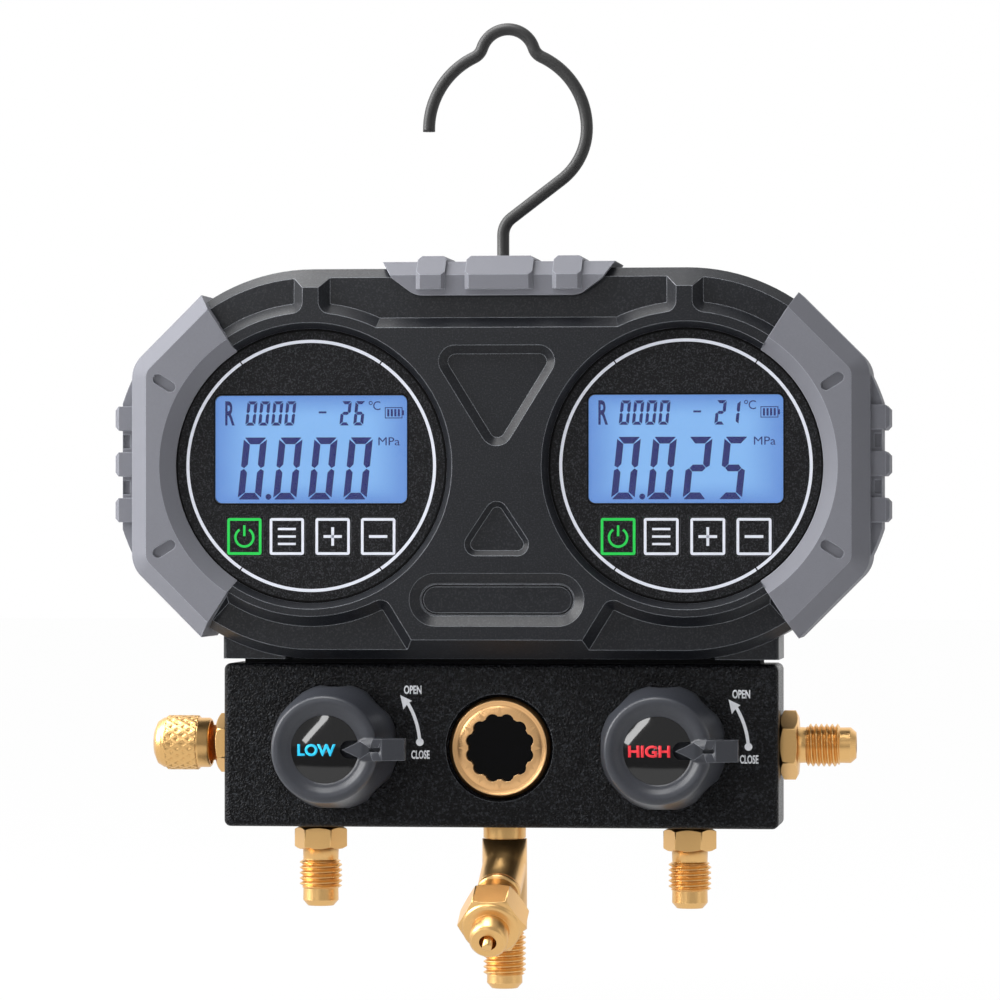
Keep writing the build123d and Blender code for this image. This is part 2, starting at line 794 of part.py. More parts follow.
def top_bumper():
    """Rubber saddle over the top of the housing, with a hole for the hook."""
    reach = saddle_half + 1
    body = extrude(saddle_section(0), amount=reach, both=True)
    for centre, length in saddle_ribs:
        section = saddle_section(saddle_rib_height)
        rib = Pos(centre, 0, 0) * extrude(section, amount=length / 2, both=True)
        top_edges = [e for e in rib.edges() if abs(abs(e.center().X - centre) - length / 2) < 0.01]
        outer = [e for e in top_edges if e.center().Z > housing_top + saddle_thickness + 0.5
                 or e.center().Y < recess_y - saddle_front - 0.5]
        body += chamfer(outer, 1.0)
    body &= slab(saddle_outline(), front_y - 5, rear_y + 1)
    hole = Cylinder(wire_radius + saddle_hole_gap, 20)
    return body - Pos(0, mid_y, housing_top + 5) * hole


# ---- Displays and keys -------------------------------------------------------------------
def window_sketch(gap=0.0):
    """Display window about the display centre."""
    shape = RectangleRounded(window_width + 2 * gap, window_height + 2 * gap, window_corner)
    return Pos(0, window_rise) * shape


def at_display(side, sketch):
    """A sketch placed on one display centre; side is -1 for left and 1 for right."""
    return Pos(side * display_spread, display_height) * sketch


def faceplate(side):
    """Front plate of one display, with its window and four key openings."""
    sketch = Circle(faceplate_radius - shell_gap) - window_sketch()
    for offset in key_offsets:
        opening = Rectangle(key_width + 2 * key_gap, key_height + 2 * key_gap)
        sketch -= Pos(offset, -key_drop) * opening
    return slab(at_display(side, sketch), faceplate_y, ledge_y)


def lcd_lens(side):
    """Clear window in the faceplate."""
    start = faceplate_y + lens_recess
    return slab(at_display(side, window_sketch(-shell_gap)), start, start + lens_thickness)


def lcd_panel(side):
    """Liquid crystal cell and backlight behind the window."""
    start = faceplate_y + lens_recess + lens_thickness
    body = slab(at_display(side, window_sketch(-shell_gap)), start, ledge_y)
    full = Rectangle(window_width + 2 * panel_margin, window_height + 2 * panel_margin)
    full = Pos(0, window_rise) * full
    return body + slab(at_display(side, full), ledge_y, ledge_y + panel_thickness)


def board_front():
    """Front of the circuit boards, behind the key stems and the panels."""
    return ledge_y + panel_thickness + 0.2


def key(side, offset):
    """One push key: cap, two lips behind the faceplate and a stem down to its switch."""
    cap = Pos(offset, -key_drop) * RectangleRounded(key_width, key_height, 0.5)
    lips = Pos(offset, -key_drop) * Rectangle(key_width, key_height + 2 * key_lip)
    lip_y = ledge_y + shell_gap
    body = slab(at_display(side, cap), faceplate_y, lip_y + key_lip_thickness)
    body += slab(at_display(side, lips), lip_y, lip_y + key_lip_thickness)
    x = side * display_spread + offset
    stem_end = board_front() - switch_height - key_travel - 0.1
    return body + disc(key_stem_radius, lip_y, stem_end, x, display_height - key_drop)


def circuit_board(side):
    """Board with four key switches, a processor and a display connector."""
    front = board_front()
    outline = RectangleRounded(board_width, board_height, board_corner)
    for hole in board_holes():
        outline -= Pos(*hole) * Circle(screw_radius + screw_gap)
    board = slab(at_display(side, outline), front, front + board_thickness)
    for offset in key_offsets:
        x = side * display_spread + offset
        z = display_height - key_drop
        board += disc(switch_radius, front - switch_height, front, x, z)
    back = front + board_thickness
    chip = at_display(side, Pos(0, 6) * Rectangle(12, 12))
    plug = at_display(side, Pos(-14, 8) * Rectangle(5, 16))
    return board + slab(chip, back, back + 1.4) + slab(plug, back, back + 2.2)


def board_holes():
    """Screw holes of a board, about the display centre."""
    half_w = board_width / 2 - board_hole_inset
    half_h = board_height / 2 - board_hole_inset
    return ((-half_w, half_h), (half_w, half_h), (-half_w, -half_h), (half_w, -half_h))


def board_screws():
    """Eight screws that hold the two boards to posts behind the front face."""
    back = board_front() + board_thickness
    group = []
    for side in (-1, 1):
        for x, z in board_holes():
            px = side * display_spread + x
            pz = display_height + z
            screw = disc(screw_radius, inner_y + 0.3, back, px, pz)
            group.append(screw + disc(screw_head_radius, back, back + screw_head, px, pz))
    return Compound(children=group)


# ---- Batteries ---------------------------------------------------------------------------
def battery_x(index):
    """Sideways place of one battery."""
    pitch = 2 * battery_radius + battery_gap
    return (index - (battery_count - 1) / 2) * pitch


def battery_y():
    """Depth of the battery axes."""
    _, _, floor_y = tub_sizes()
    return floor_y + battery_gap / 2 + battery_radius


def batteries():
    """Upright cells, every second one turned over."""
    group = []
    for index in range(battery_count):
        way = 1 if index % 2 == 0 else -1
        half = battery_length / 2
        points = [
            (0, -half),
            (battery_radius, -half),
            (battery_radius, half - 1),
            (battery_radius - 0.6, half - 0.6),
            (battery_nub, half - 0.6),
            (battery_nub, half),
            (0, half),
        ]
        cell = turned(points)
        turn = Rot(0, 0, 0) if way > 0 else Rot(180, 0, 0)
        group.append(Pos(battery_x(index), battery_y(), display_height) * turn * cell)
    return Compound(children=group)


def battery_contacts():
    """Contact plates at both ends of the tub, each with a spring on the flat ends of the cells."""
    _, height, _ = tub_sizes()
    group = []
    for index in range(battery_count):
        for end in (-1, 1):
            z = display_height + end * (height / 2 - contact_thickness / 2 - 0.05)
            plate = Box(2 * battery_radius - 1.0, 2 * battery_radius - 1.5, contact_thickness)
            piece = Pos(battery_x(index), battery_y(), z) * plate
            flat_end = -1 if index % 2 == 0 else 1
            if end == flat_end:
                reach = height / 2 - contact_thickness - battery_length / 2 - 0.1
                piece += coil_stack(battery_x(index), z, -end, reach)
            group.append(piece)
    return Compound(children=group)


def coil_stack(x, z, way, reach):
    """Closed conical contact spring drawn as stacked rings."""
    start = z + way * contact_thickness / 2
    turns = 3
    shape = Part()
    for turn in range(turns):
        height = reach * (turn + 0.5) / turns
        radius = spring_radius - 0.7 * turn
        ring = Cylinder(radius, reach / turns + slip_fit)
        ring -= Cylinder(radius - 2 * spring_wire, 2 * reach / turns)
        shape += Pos(x, battery_y(), start + way * height) * ring
    return shape


def battery_cover():
    """Snap-in cover with a finger grip."""
    cover = slab(cover_sketch(), rear_y - cover_thickness, rear_y)
    _, height, _ = tub_sizes()
    for index in range(3):
        z = display_height + height / 2 - 5 - index * cover_grip_width * 1.6
        groove = Pos(0, z) * SlotOverall(cover_grip_length, cover_grip_width * 0.6)
        cover -= slab(groove, rear_y - 0.8, rear_y + 1)
    return cover


def housing_screws():
    """Eight screws that hold the shells together from the back."""
    group = []
    for x, z in screw_places():
        pz = display_height + z
        head_y = rear_y - screw_well
        body = disc(screw_radius, inner_y + 2, head_y, x, pz)
        body += disc(screw_head_radius, head_y, head_y + screw_head, x, pz)
        socket = Pos(x, pz) * (Rectangle(3.2, 0.8) + Rectangle(0.8, 3.2))
        group.append(body - slab(socket, head_y + screw_head - 1.0, head_y + screw_head + 1))
    return Compound(children=group)


# ---- Manifold block ----------------------------------------------------------------------
def manifold_block():
    """Machined block with valve chambers, sight glass bore, gallery and port holes."""
    centre_z = (block_top_z + block_bottom_z) / 2
    block = Pos(0, block_mid_y, centre_z) * Box(2 * block_half, block_depth, block_height)
    block = fillet(block.edges(), block_edge)
    gallery = Cylinder(gallery_radius, 2 * block_half + 2, rotation=(0, 90, 0))
    block -= Pos(0, block_mid_y, gallery_z) * gallery
    for side in (-1, 1):
        x = side * valve_spread
        block -= disc(bonnet_radius, block_front_y - 1, block_front_y + bonnet_depth, x, valve_z)
        block -= disc(chamber_radius, block_front_y, block_mid_y + ball_radius + 1.0, x, valve_z)
        side_hole = Cylinder(shank_radius, 2 * shank_length, rotation=(0, 90, 0))
        block -= Pos(side * block_half, block_mid_y, gallery_z) * side_hole
        hose = side * hose_port_place
        block -= Pos(hose, block_mid_y, block_bottom_z) * Cylinder(shank_radius, 2 * shank_length)
        block -= upright_bore(hose, gallery_radius, block_bottom_z, gallery_z)
        bolt = side * bolt_place
        block -= Pos(bolt, block_mid_y, block_top_z) * Cylinder(bolt_radius, 2 * bolt_grip)
        sensor = side * sensor_place
        sensor_bore = Cylinder(sensor_shank_radius, 2 * sensor_shank)
        block -= Pos(sensor, block_mid_y, block_top_z) * sensor_bore
        block -= upright_bore(sensor, 1.2, gallery_z, block_top_z)
    step_y = block_front_y + sight_counterbore_depth
    block -= disc(sight_counterbore, block_front_y - cut_past, step_y, 0, sight_z)
    block -= disc(sight_shank_radius, block_front_y, step_y + sight_shank_length, 0, sight_z)
    block -= disc(sight_bore, block_front_y, block_front_y + sight_bore_depth, 0, sight_z)
    block -= Pos(0, block_mid_y, block_bottom_z) * Cylinder(shank_radius, 2 * shank_length)
    block -= upright_bore(0, gallery_radius, block_bottom_z, gallery_z)
    return block


def upright_bore(x, radius, low, high):
    """Vertical passage in the block."""
    return Pos(x, block_mid_y, (low + high) / 2) * Cylinder(radius, high - low)


def base_gasket():
    """Rubber gasket between the housing's foot and the block."""
    low = block_top_z
    width = 2 * (foot_half - gasket_margin)
    depth = block_depth - 2 * gasket_margin
    gasket = Pos(0, block_mid_y, low + gasket_thickness / 2) * Box(width, depth, gasket_thickness)
    for side in (-1, 1):
        hole = Cylinder(bolt_radius + screw_gap, 10)
        gasket -= Pos(side * bolt_place, block_mid_y, low) * hole
        sensor_room = Cylinder(sensor_radius + sensor_gap, 10)
        gasket -= Pos(side * sensor_place, block_mid_y, low) * sensor_room
    return gasket


def block_screws():
    """Two bolts from inside the housing down into the block."""
    seat = housing_height - housing_radius + housing_wall
    points = [
        (0, block_top_z - bolt_grip + 1),
        (bolt_radius - slip_fit, block_top_z - bolt_grip + 1),
        (bolt_radius - slip_fit, seat),
        (bolt_head_radius, seat),
        (bolt_head_radius, seat + bolt_head),
        (0, seat + bolt_head),
    ]
    group = []
    for side in (-1, 1):
        bolt = turned(points, Pos(side * bolt_place, block_mid_y, 0))
        socket = extrude(RegularPolygon(1.8, 6), amount=3)
        group.append(bolt - Pos(side * bolt_place, block_mid_y, seat + bolt_head - 1.6) * socket)
    return Compound(children=group)


def pressure_sensor(side):
    """Screw-in pressure sensor that stands on the block inside the housing."""
    low = block_top_z - sensor_shank + 0.2
    base = block_top_z
    points = [
        (1.0, low),
        (sensor_shank_radius - slip_fit, low),
        (sensor_shank_radius - slip_fit, base),
        (sensor_radius, base),
        (sensor_radius, base + sensor_height),
        (sensor_radius - 1, base + sensor_height + 1),
        (1.0, base + sensor_height + 1),
    ]
    sensor = turned(points, Pos(side * sensor_place, block_mid_y, 0))
    cap = Pos(side * sensor_place, block_mid_y, base + sensor_height) * Cylinder(1.2, 1.6)
    return sensor + cap


# ---- Valves and knobs --------------------------------------------------------------------
def valve_bonnet(side):
    """Brass bonnet that closes a valve chamber and guides the spindle."""
    x = side * valve_spread
    front = block_front_y - bonnet_flange
    back = block_front_y + bonnet_depth
    body = disc(bonnet_flange_radius, front, block_front_y, x, valve_z)
    body += disc(bonnet_radius - slip_fit, block_front_y, back, x, valve_z)
    body -= disc(spindle_radius + spindle_gap, front, back, x, valve_z)
    seal_y = block_front_y + seal_depth
    groove_radius = spindle_radius + spindle_gap + seal_section
    body -= disc(groove_radius, seal_y, seal_y + 2 * seal_section, x, valve_z)
    return body


def spindle_seals():
    """O-rings in the two bonnets."""
    group = []
    for side in (-1, 1):
        y = block_front_y + seal_depth + seal_section
        place = facing_front(side * valve_spread, y, valve_z).location
        radius = spindle_radius + spindle_gap + seal_section / 2
        group.append(turned_ring(seal_section / 2 - slip_fit, radius, place))
    return Compound(children=group)


def valve_spindle(side):
    """Quarter-turn spindle with its ball; the cross hole stands upright when the valve is shut."""
    x = side * valve_spread
    knob_front = block_front_y - knob_proud
    square_start = block_front_y - bonnet_flange - 1.0
    square_end = knob_front + knob_dish_depth + cap_thickness + knob_screw_head
    body = Pos(x, block_mid_y, valve_z) * Sphere(ball_radius)
    body += disc(spindle_radius, square_start, block_mid_y, x, valve_z)
    square = Pos(x, valve_z) * Rectangle(spindle_square, spindle_square)
    flats = slab(square, square_end, square_start)
    body += flats & disc(spindle_radius, square_end, square_start, x, valve_z)
    body -= disc(knob_screw_radius, square_end - 1, square_end + knob_screw_length, x, valve_z)
    return body - Pos(x, block_mid_y, valve_z) * Cylinder(ball_bore, 3 * ball_radius)


def ball_seats():
    """Seat rings on both sides of each valve ball, inside the round chamber."""
    ring_radius = gallery_radius + seat_land
    outer = math.sqrt(chamber_radius ** 2 - ring_radius ** 2) - shell_gap
    clear = ball_radius + seat_gap
    bore_touch = math.sqrt(clear ** 2 - ball_bore ** 2)
    rim_touch = math.sqrt(clear ** 2 - ring_radius ** 2)
    points = [
        (ball_bore, bore_touch),
        (ring_radius, rim_touch),
        (ring_radius, outer),
        (ball_bore, outer),
    ]
    group = []
    for side in (-1, 1):
        for turn in (-90, 90):
            place = Pos(side * valve_spread, block_mid_y, valve_z) * Rot(0, turn, 0)
            group.append(turned(points, place))
    return Compound(children=group)


def knob(side):
    """Moulded knob: round front ring, flared skirt with finger scallops, and a pointer bar."""
    place = facing_front(side * valve_spread, block_front_y - knob_gap, valve_z).location
    tall = knob_proud - knob_gap
    front = tall
    dish = front - knob_dish_depth
    seat = dish - cap_thickness + cap_dome
    hollow = front - knob_web
    points = [
        (0, 0),
        (knob_skirt_radius, 0),
        (knob_skirt_radius, knob_skirt_height),
        (knob_waist_radius + knob_edge, tall - knob_flare_drop),
        (knob_waist_radius, tall - knob_waist_drop),
        (knob_front_radius, front - knob_edge),
        (knob_front_radius - knob_edge, front),
        (knob_front_radius - knob_rim, front),
        (cap_radius + cap_gap + knob_edge, dish),
        (cap_radius + cap_gap, dish),
        (cap_radius + cap_gap, seat),
        (0, seat),
    ]
    body = turned(points)
    for index in range(scallop_count):
        angle = 360 * index / scallop_count
        cutter = Pos(scallop_reach + scallop_radius, 0, tall / 2) * Cylinder(scallop_radius, tall + 2)
        body -= Rot(0, 0, angle) * cutter
    inside = [
        (knob_hub_radius, 0),
        (knob_skirt_radius - knob_wall, 0),
        (knob_waist_radius - knob_wall, hollow - 2),
        (knob_waist_radius - knob_wall - 2, hollow),
        (knob_hub_radius, hollow),
    ]
    body -= turned(inside)
    hub_back = bonnet_flange + 1.0 - knob_gap
    body -= Pos(0, 0, hub_back / 2) * Cylinder(knob_hub_radius + 0.1, hub_back)
    body += pointer_bar(front, seat)
    square_end = knob_proud - knob_dish_depth - cap_thickness - knob_screw_head - knob_gap
    across = spindle_square + 2 * slip_fit
    square = extrude(Rectangle(across, across), amount=square_end)
    body -= square & Cylinder(spindle_radius + slip_fit, 3 * tall)
    body -= Cylinder(spindle_radius + spindle_gap, 2 * (hub_back + 0.01))
    body -= Pos(0, 0, seat - 0.5) * Cylinder(knob_screw_radius + screw_gap, 2 * (seat - square_end))
    well = seat - (square_end + 1.2)
    body -= Pos(0, 0, seat - well / 2) * Cylinder(knob_screw_head_radius + screw_gap, well)
    return place * body


def pointer_bar(front, seat):
    """Pointer that runs from the cap's notch over the rim to a finger block outside the skirt."""
    half = pointer_half
    points = [
        (pointer_tip, 0),
        (pointer_root, -half * 0.8),
        (pointer_slot_place - 0.5, -half),
        (pointer_reach, -half),
        (pointer_reach, half),
        (pointer_slot_place - 0.5, half),
        (pointer_root, half * 0.8),
    ]
    outline = make_face(Polyline(*points, close=True))
    top = front + pointer_proud
    low = top - pointer_depth
    bar = Pos(0, 0, low) * extrude(outline, amount=pointer_depth)
    inner = Pos(0, 0, seat / 2) * Cylinder(cap_radius + cap_gap + 0.01, seat)
    bar -= inner
    slot = SlotOverall(pointer_slot_length, pointer_slot_width)
    slot_floor = Pos(pointer_slot_place, 0, top - pointer_slot_depth)
    bar -= slot_floor * extrude(slot, amount=pointer_slot_depth + cut_past)
    start = pointer_reach - pointer_slope_run
    wedge_points = [
        (start, top),
        (pointer_reach + 1, top - pointer_end_slope),
        (pointer_reach + 1, top + 1),
        (start, top + 1),
    ]
    wedge = make_face(Plane.XZ * Polyline(*wedge_points, close=True))
    return bar - extrude(wedge, amount=2 * half, both=True)


def knob_cap(side):
    """Domed gloss cap with a notch for the pointer's tip."""
    tall = knob_proud - knob_gap
    dish = tall - knob_dish_depth
    seat = dish - cap_thickness + cap_dome
    rise = cap_dome
    dome = (cap_radius ** 2 + rise ** 2) / (2 * rise)
    disc_part = Pos(0, 0, seat) * extrude(Circle(cap_radius), amount=cap_thickness)
    cap = disc_part & Pos(0, 0, seat + cap_thickness - dome) * Sphere(dome)
    notch = Pos(notch_place, 0) * Circle(notch_radius)
    notch += Pos(notch_place + cap_radius / 2, 0) * Rectangle(cap_radius, 2 * notch_radius)
    cap -= extrude(notch, amount=2 * tall)
    return facing_front(side * valve_spread, block_front_y - knob_gap, valve_z).location * cap


def knob_screw(side):
    """Screw under the cap that holds the knob on its spindle."""
    place = facing_front(side * valve_spread, block_front_y - knob_gap, valve_z).location
    base = knob_proud - knob_dish_depth - cap_thickness - knob_screw_head - knob_gap + 1.2
    points = [
        (0, base - knob_screw_length + 1),
        (knob_screw_radius - slip_fit, base - knob_screw_length + 1),
        (knob_screw_radius - slip_fit, base),
        (knob_screw_head_radius, base),
        (knob_screw_head_radius, base + knob_screw_head - 0.3),
        (0, base + knob_screw_head - 0.3),
    ]
    screw = turned(points)
    slot = Rectangle(4.0, 0.9) + Rectangle(0.9, 4.0)
    return place * (screw - Pos(0, 0, base + knob_screw_head - 1.2) * extrude(slot, amount=2))


# ---- Sight glass -------------------------------------------------------------------------
def lobed_hole():
    """Round hole with lobes cut into its edge, for a lobed driver."""
    shape = Circle(lobe_land_radius)
    for index in range(lobe_count):
        turn = Rot(0, 0, (index + 0.5) * 360 / lobe_count)
        shape += turn * Pos(lobe_circle, 0) * Circle(lobe_radius)
    return shape


def sight_glass_ring():
    """Brass ring that screws into the block over the sight glass."""
    back = sight_counterbore_depth - sight_ring_setback
    end = back + sight_shank_length - 1.0
    bore = glass_radius + shell_gap
    points = [
        (0, 0),
        (sight_ring_step - 0.2, 0),
        (sight_ring_step, 0.3),
        (sight_ring_step + 0.4, 0),
        (sight_ring_radius - 0.9, -0.2),
        (sight_ring_radius, 0.9),
        (sight_ring_radius, back),
        (sight_shank_radius - slip_fit, back),
        (sight_shank_radius - slip_fit, end),
        (bore, end),
        (bore, sight_face),
        (0, sight_face),
    ]
    profile = [(radius, -height) for radius, height in points]
    place = facing_front(0, block_front_y + sight_ring_setback, sight_z).location
    hole = extrude(lobed_hole(), amount=sight_face + 3 * cut_past)
    return place * (turned(profile) - Pos(0, 0, -sight_face - cut_past) * hole)


def sight_glass():
    """Round glass behind the ring."""
    start = block_front_y + sight_ring_setback + sight_face
    return disc(glass_radius, start, start + glass_thickness, 0, sight_z)


def sight_glass_seal():
    """O-ring behind the sight glass."""
    y = block_front_y + sight_ring_setback + sight_face + glass_thickness + seal_section
    place = facing_front(0, y, sight_z).location
    return turned_ring(seal_section - slip_fit, glass_radius - seal_section, place)


# ---- Flare ports -------------------------------------------------------------------------
def flare_port(place, flats, collar, hexagon, neck, thread, nose, nose_radius):
    """Brass flare port along the local z axis, with its shank in the block behind."""
    hex_end = collar + hexagon
    neck_end = hex_end + neck
    thread_end = neck_end + thread
    end = thread_end + nose
    cone = nose_radius - flare_nose_end + 0.6
    points = [
        (flare_bore, -shank_length + shank_clear),
        (shank_radius - slip_fit, -shank_length + shank_clear),
        (shank_radius - slip_fit, 0),
        (flats / 2 * 0.94, 0),
        (flats / 2 * 0.94, collar + 0.3),
        (hose_neck_radius, collar + 0.3),
        (hose_neck_radius, neck_end),
        (thread_radius - thread_lead, neck_end),
        (thread_radius, neck_end + thread_lead),
        (thread_radius, thread_end - thread_lead),
        (thread_radius - thread_lead, thread_end),
        (nose_radius, thread_end),
        (nose_radius, end - cone),
        (flare_nose_end - 0.4, end),
        (flare_bore, end),
    ]
    port = turned(points)
    nut = hex_bar(flats, collar, hex_end) - Cylinder(hose_neck_radius - 0.5, 4 * end)
    return place * (port + nut)


def hose_port(side):
    """Hose port under the block."""
    place = Pos(side * hose_port_place, block_mid_y, block_bottom_z) * Rot(180, 0, 0)
    sizes = (hose_collar, hose_hex_length, hose_neck, hose_thread, hose_nose)
    return flare_port(place, hose_hex, *sizes, hose_nose_radius)


def right_side_port():
    """Port on the right end of the block."""
    place = Pos(block_half, block_mid_y, gallery_z) * Rot(0, 90, 0)
    sizes = (0, right_hex_length, right_neck, right_thread, right_nose)
    return flare_port(place, right_hex, *sizes, hose_nose_radius)


def left_side_port():
    """Port on the left end of the block, closed by its cap."""
    place = Pos(-block_half, block_mid_y, gallery_z) * Rot(0, -90, 0)
    sizes = (0, left_hex_length, left_neck, left_thread, left_nose)
    return flare_port(place, left_hex, *sizes, hose_nose_radius)


def port_cap():
    """Knurled cap on the left side port."""
    start = port_cap_start
    rim_end = start + port_cap_rim
    knurl_end = rim_end + port_cap_knurl
    end = start + port_cap_length
    bore = thread_radius + port_cap_gap
    floor = left_hex_length + left_neck + left_thread + left_nose + port_cap_seal + 0.2
    points = [
        (bore, start),
        (port_cap_rim_radius - 0.4, start),
        (port_cap_rim_radius, start + 0.4),
        (port_cap_rim_radius, rim_end - 0.6),
        (port_cap_radius, rim_end),
        (port_cap_radius, knurl_end),
        (port_cap_rim_radius, knurl_end + 0.6),
        (port_cap_rim_radius, end - 2.4),
        (port_cap_rim_radius - 0.9, end - 0.9),
        (port_cap_rim_radius - 2.9, end),
        (0, end),
        (0, floor),
        (bore, floor),
    ]
    return Pos(-block_half, block_mid_y, gallery_z) * Rot(0, -90, 0) * turned(points)


def port_cap_seal_disc():
    """Rubber disc inside the cap, against the flare's nose."""
    low = left_hex_length + left_neck + left_thread + left_nose + 0.1
    disc_part = Pos(0, 0, low + port_cap_seal / 2) * Cylinder(thread_radius - 0.1, port_cap_seal)
    return Pos(-block_half, block_mid_y, gallery_z) * Rot(0, -90, 0) * disc_part


# ---- Centre port and bleed valve ---------------------------------------------------------
def branch_place(distance):
    """Place on the branch's axis, local z pointing out along it."""
    start = Pos(0, block_mid_y, block_bottom_z - branch_drop)
    turn = Rot(0, 0, -branch_clock) * Rot(90 + branch_pitch, 0, 0)
    return start * turn * Pos(0, 0, distance)


def centre_port():
    """Brass tee: neck into the block, a threaded end straight down and a branch to the front."""
    neck_end = centre_neck
    body_end = neck_end + centre_body
    thread_end = body_end + centre_thread
    end = thread_end + centre_nose
    points = [
        (0, -shank_length + shank_clear),
        (shank_radius - slip_fit, -shank_length + shank_clear),
        (shank_radius - slip_fit, 0),
        (centre_neck_radius, 0),
        (centre_neck_radius, neck_end - 0.3),
        (centre_neck_radius - 0.4, neck_end - 0.3),
        (centre_neck_radius - 0.4, neck_end),
        (centre_body_radius, neck_end),
        (centre_body_radius, body_end - 0.8),
        (thread_radius - 0.8, body_end),
        (thread_radius - 0.8, body_end + 0.6),
        (thread_radius, body_end + 1.1),
        (thread_radius, thread_end - thread_lead),
        (thread_radius - thread_lead, thread_end),
        (hose_nose_radius, thread_end),
        (hose_nose_radius, end - 1.4),
        (flare_nose_end - 0.4, end),
        (0, end),
    ]
    body = turned(points, Pos(0, block_mid_y, block_bottom_z) * Rot(180, 0, 0))
    body += branch_place(branch_body / 2) * Cylinder(branch_radius, branch_body)
    bore = Cylinder(flare_bore, end + 2 * shank_length)
    body -= Pos(0, block_mid_y, block_bottom_z - end / 2) * bore
    return body - branch_place(branch_body / 2) * Cylinder(flare_bore, branch_body)


def bleed_valve_body():
    """Hexagon body on the branch with the push pin's guide in its nose."""
    joint = branch_joint
    neck_end = joint + bleed_neck
    hex_end = neck_end + bleed_hex_length
    land_end = hex_end + bleed_land
    end = land_end + bleed_nose
    points = [
        (0, 0),
        (branch_joint_radius - 0.5, 0),
        (branch_joint_radius, 0.3),
        (branch_joint_radius, joint - 0.3),
        (branch_joint_radius - 0.5, joint),
        (bleed_neck_radius, joint),
        (bleed_neck_radius, hex_end),
        (bleed_land_radius, hex_end),
        (bleed_land_radius, land_end - 0.5),
        (bleed_land_radius - 0.6, land_end),
        (bleed_nose_radius, land_end + 0.2),
        (bleed_nose_radius, end - 0.7),
        (bleed_nose_radius - 0.7, end),
        (0, end),
    ]
    body = turned(points) + hex_bar(bleed_hex, neck_end, hex_end)
    body -= Pos(0, 0, end / 2 + 5) * Cylinder(bleed_bore, end + 10)
    chamber_end = end - bleed_front_wall
    chamber_start = 2.0
    room = chamber_end - chamber_start
    body -= Pos(0, 0, chamber_start + room / 2) * Cylinder(bleed_chamber, room)
    body -= Pos(0, 0, chamber_start / 2) * Cylinder(flare_bore, chamber_start)
    return branch_place(branch_body) * body


def bleed_length():
    """Length of the bleed valve body past the branch."""
    return branch_joint + bleed_neck + bleed_hex_length + bleed_land + bleed_nose


def bleed_pin():
    """Push pin, held against the nose by its spring."""
    end = bleed_length()
    chamber_end = end - bleed_front_wall
    flange_top = chamber_end - 0.05
    points = [
        (0, flange_top - pin_flange - 5),
        (1.0, flange_top - pin_flange - 5),
        (1.0, flange_top - pin_flange),
        (pin_flange_radius, flange_top - pin_flange),
        (pin_flange_radius, flange_top),
        (pin_radius, flange_top),
        (pin_radius, end + pin_proud - 0.4),
        (pin_radius - 0.4, end + pin_proud),
        (0, end + pin_proud),
    ]
    return branch_place(branch_body) * turned(points)


def bleed_spring():
    """Coil spring behind the pin's flange, drawn as a closed sleeve of turns."""
    end = bleed_length()
    top = end - bleed_front_wall - 0.05 - pin_flange - pin_travel - 0.15
    low = 2.05
    rings = 5
    pitch = (top - low) / rings
    shape = Part()
    for index in range(rings):
        height = low + pitch * (index + 0.5)
        outer = bleed_spring_radius + (0.3 if index % 2 == 0 else 0)
        ring = Cylinder(outer, pitch + slip_fit)
        ring -= Cylinder(bleed_spring_radius - 2 * bleed_spring_wire, 2 * pitch)
        shape += Pos(0, 0, height) * ring
    return branch_place(branch_body) * shape


# ---- Hook --------------------------------------------------------------------------------
def on_arc(centre, radius, angle):
    """Point on an arc, from its centre, radius and angle in radians."""
    return (centre[0] + radius * math.cos(angle), centre[1] + radius * math.sin(angle))


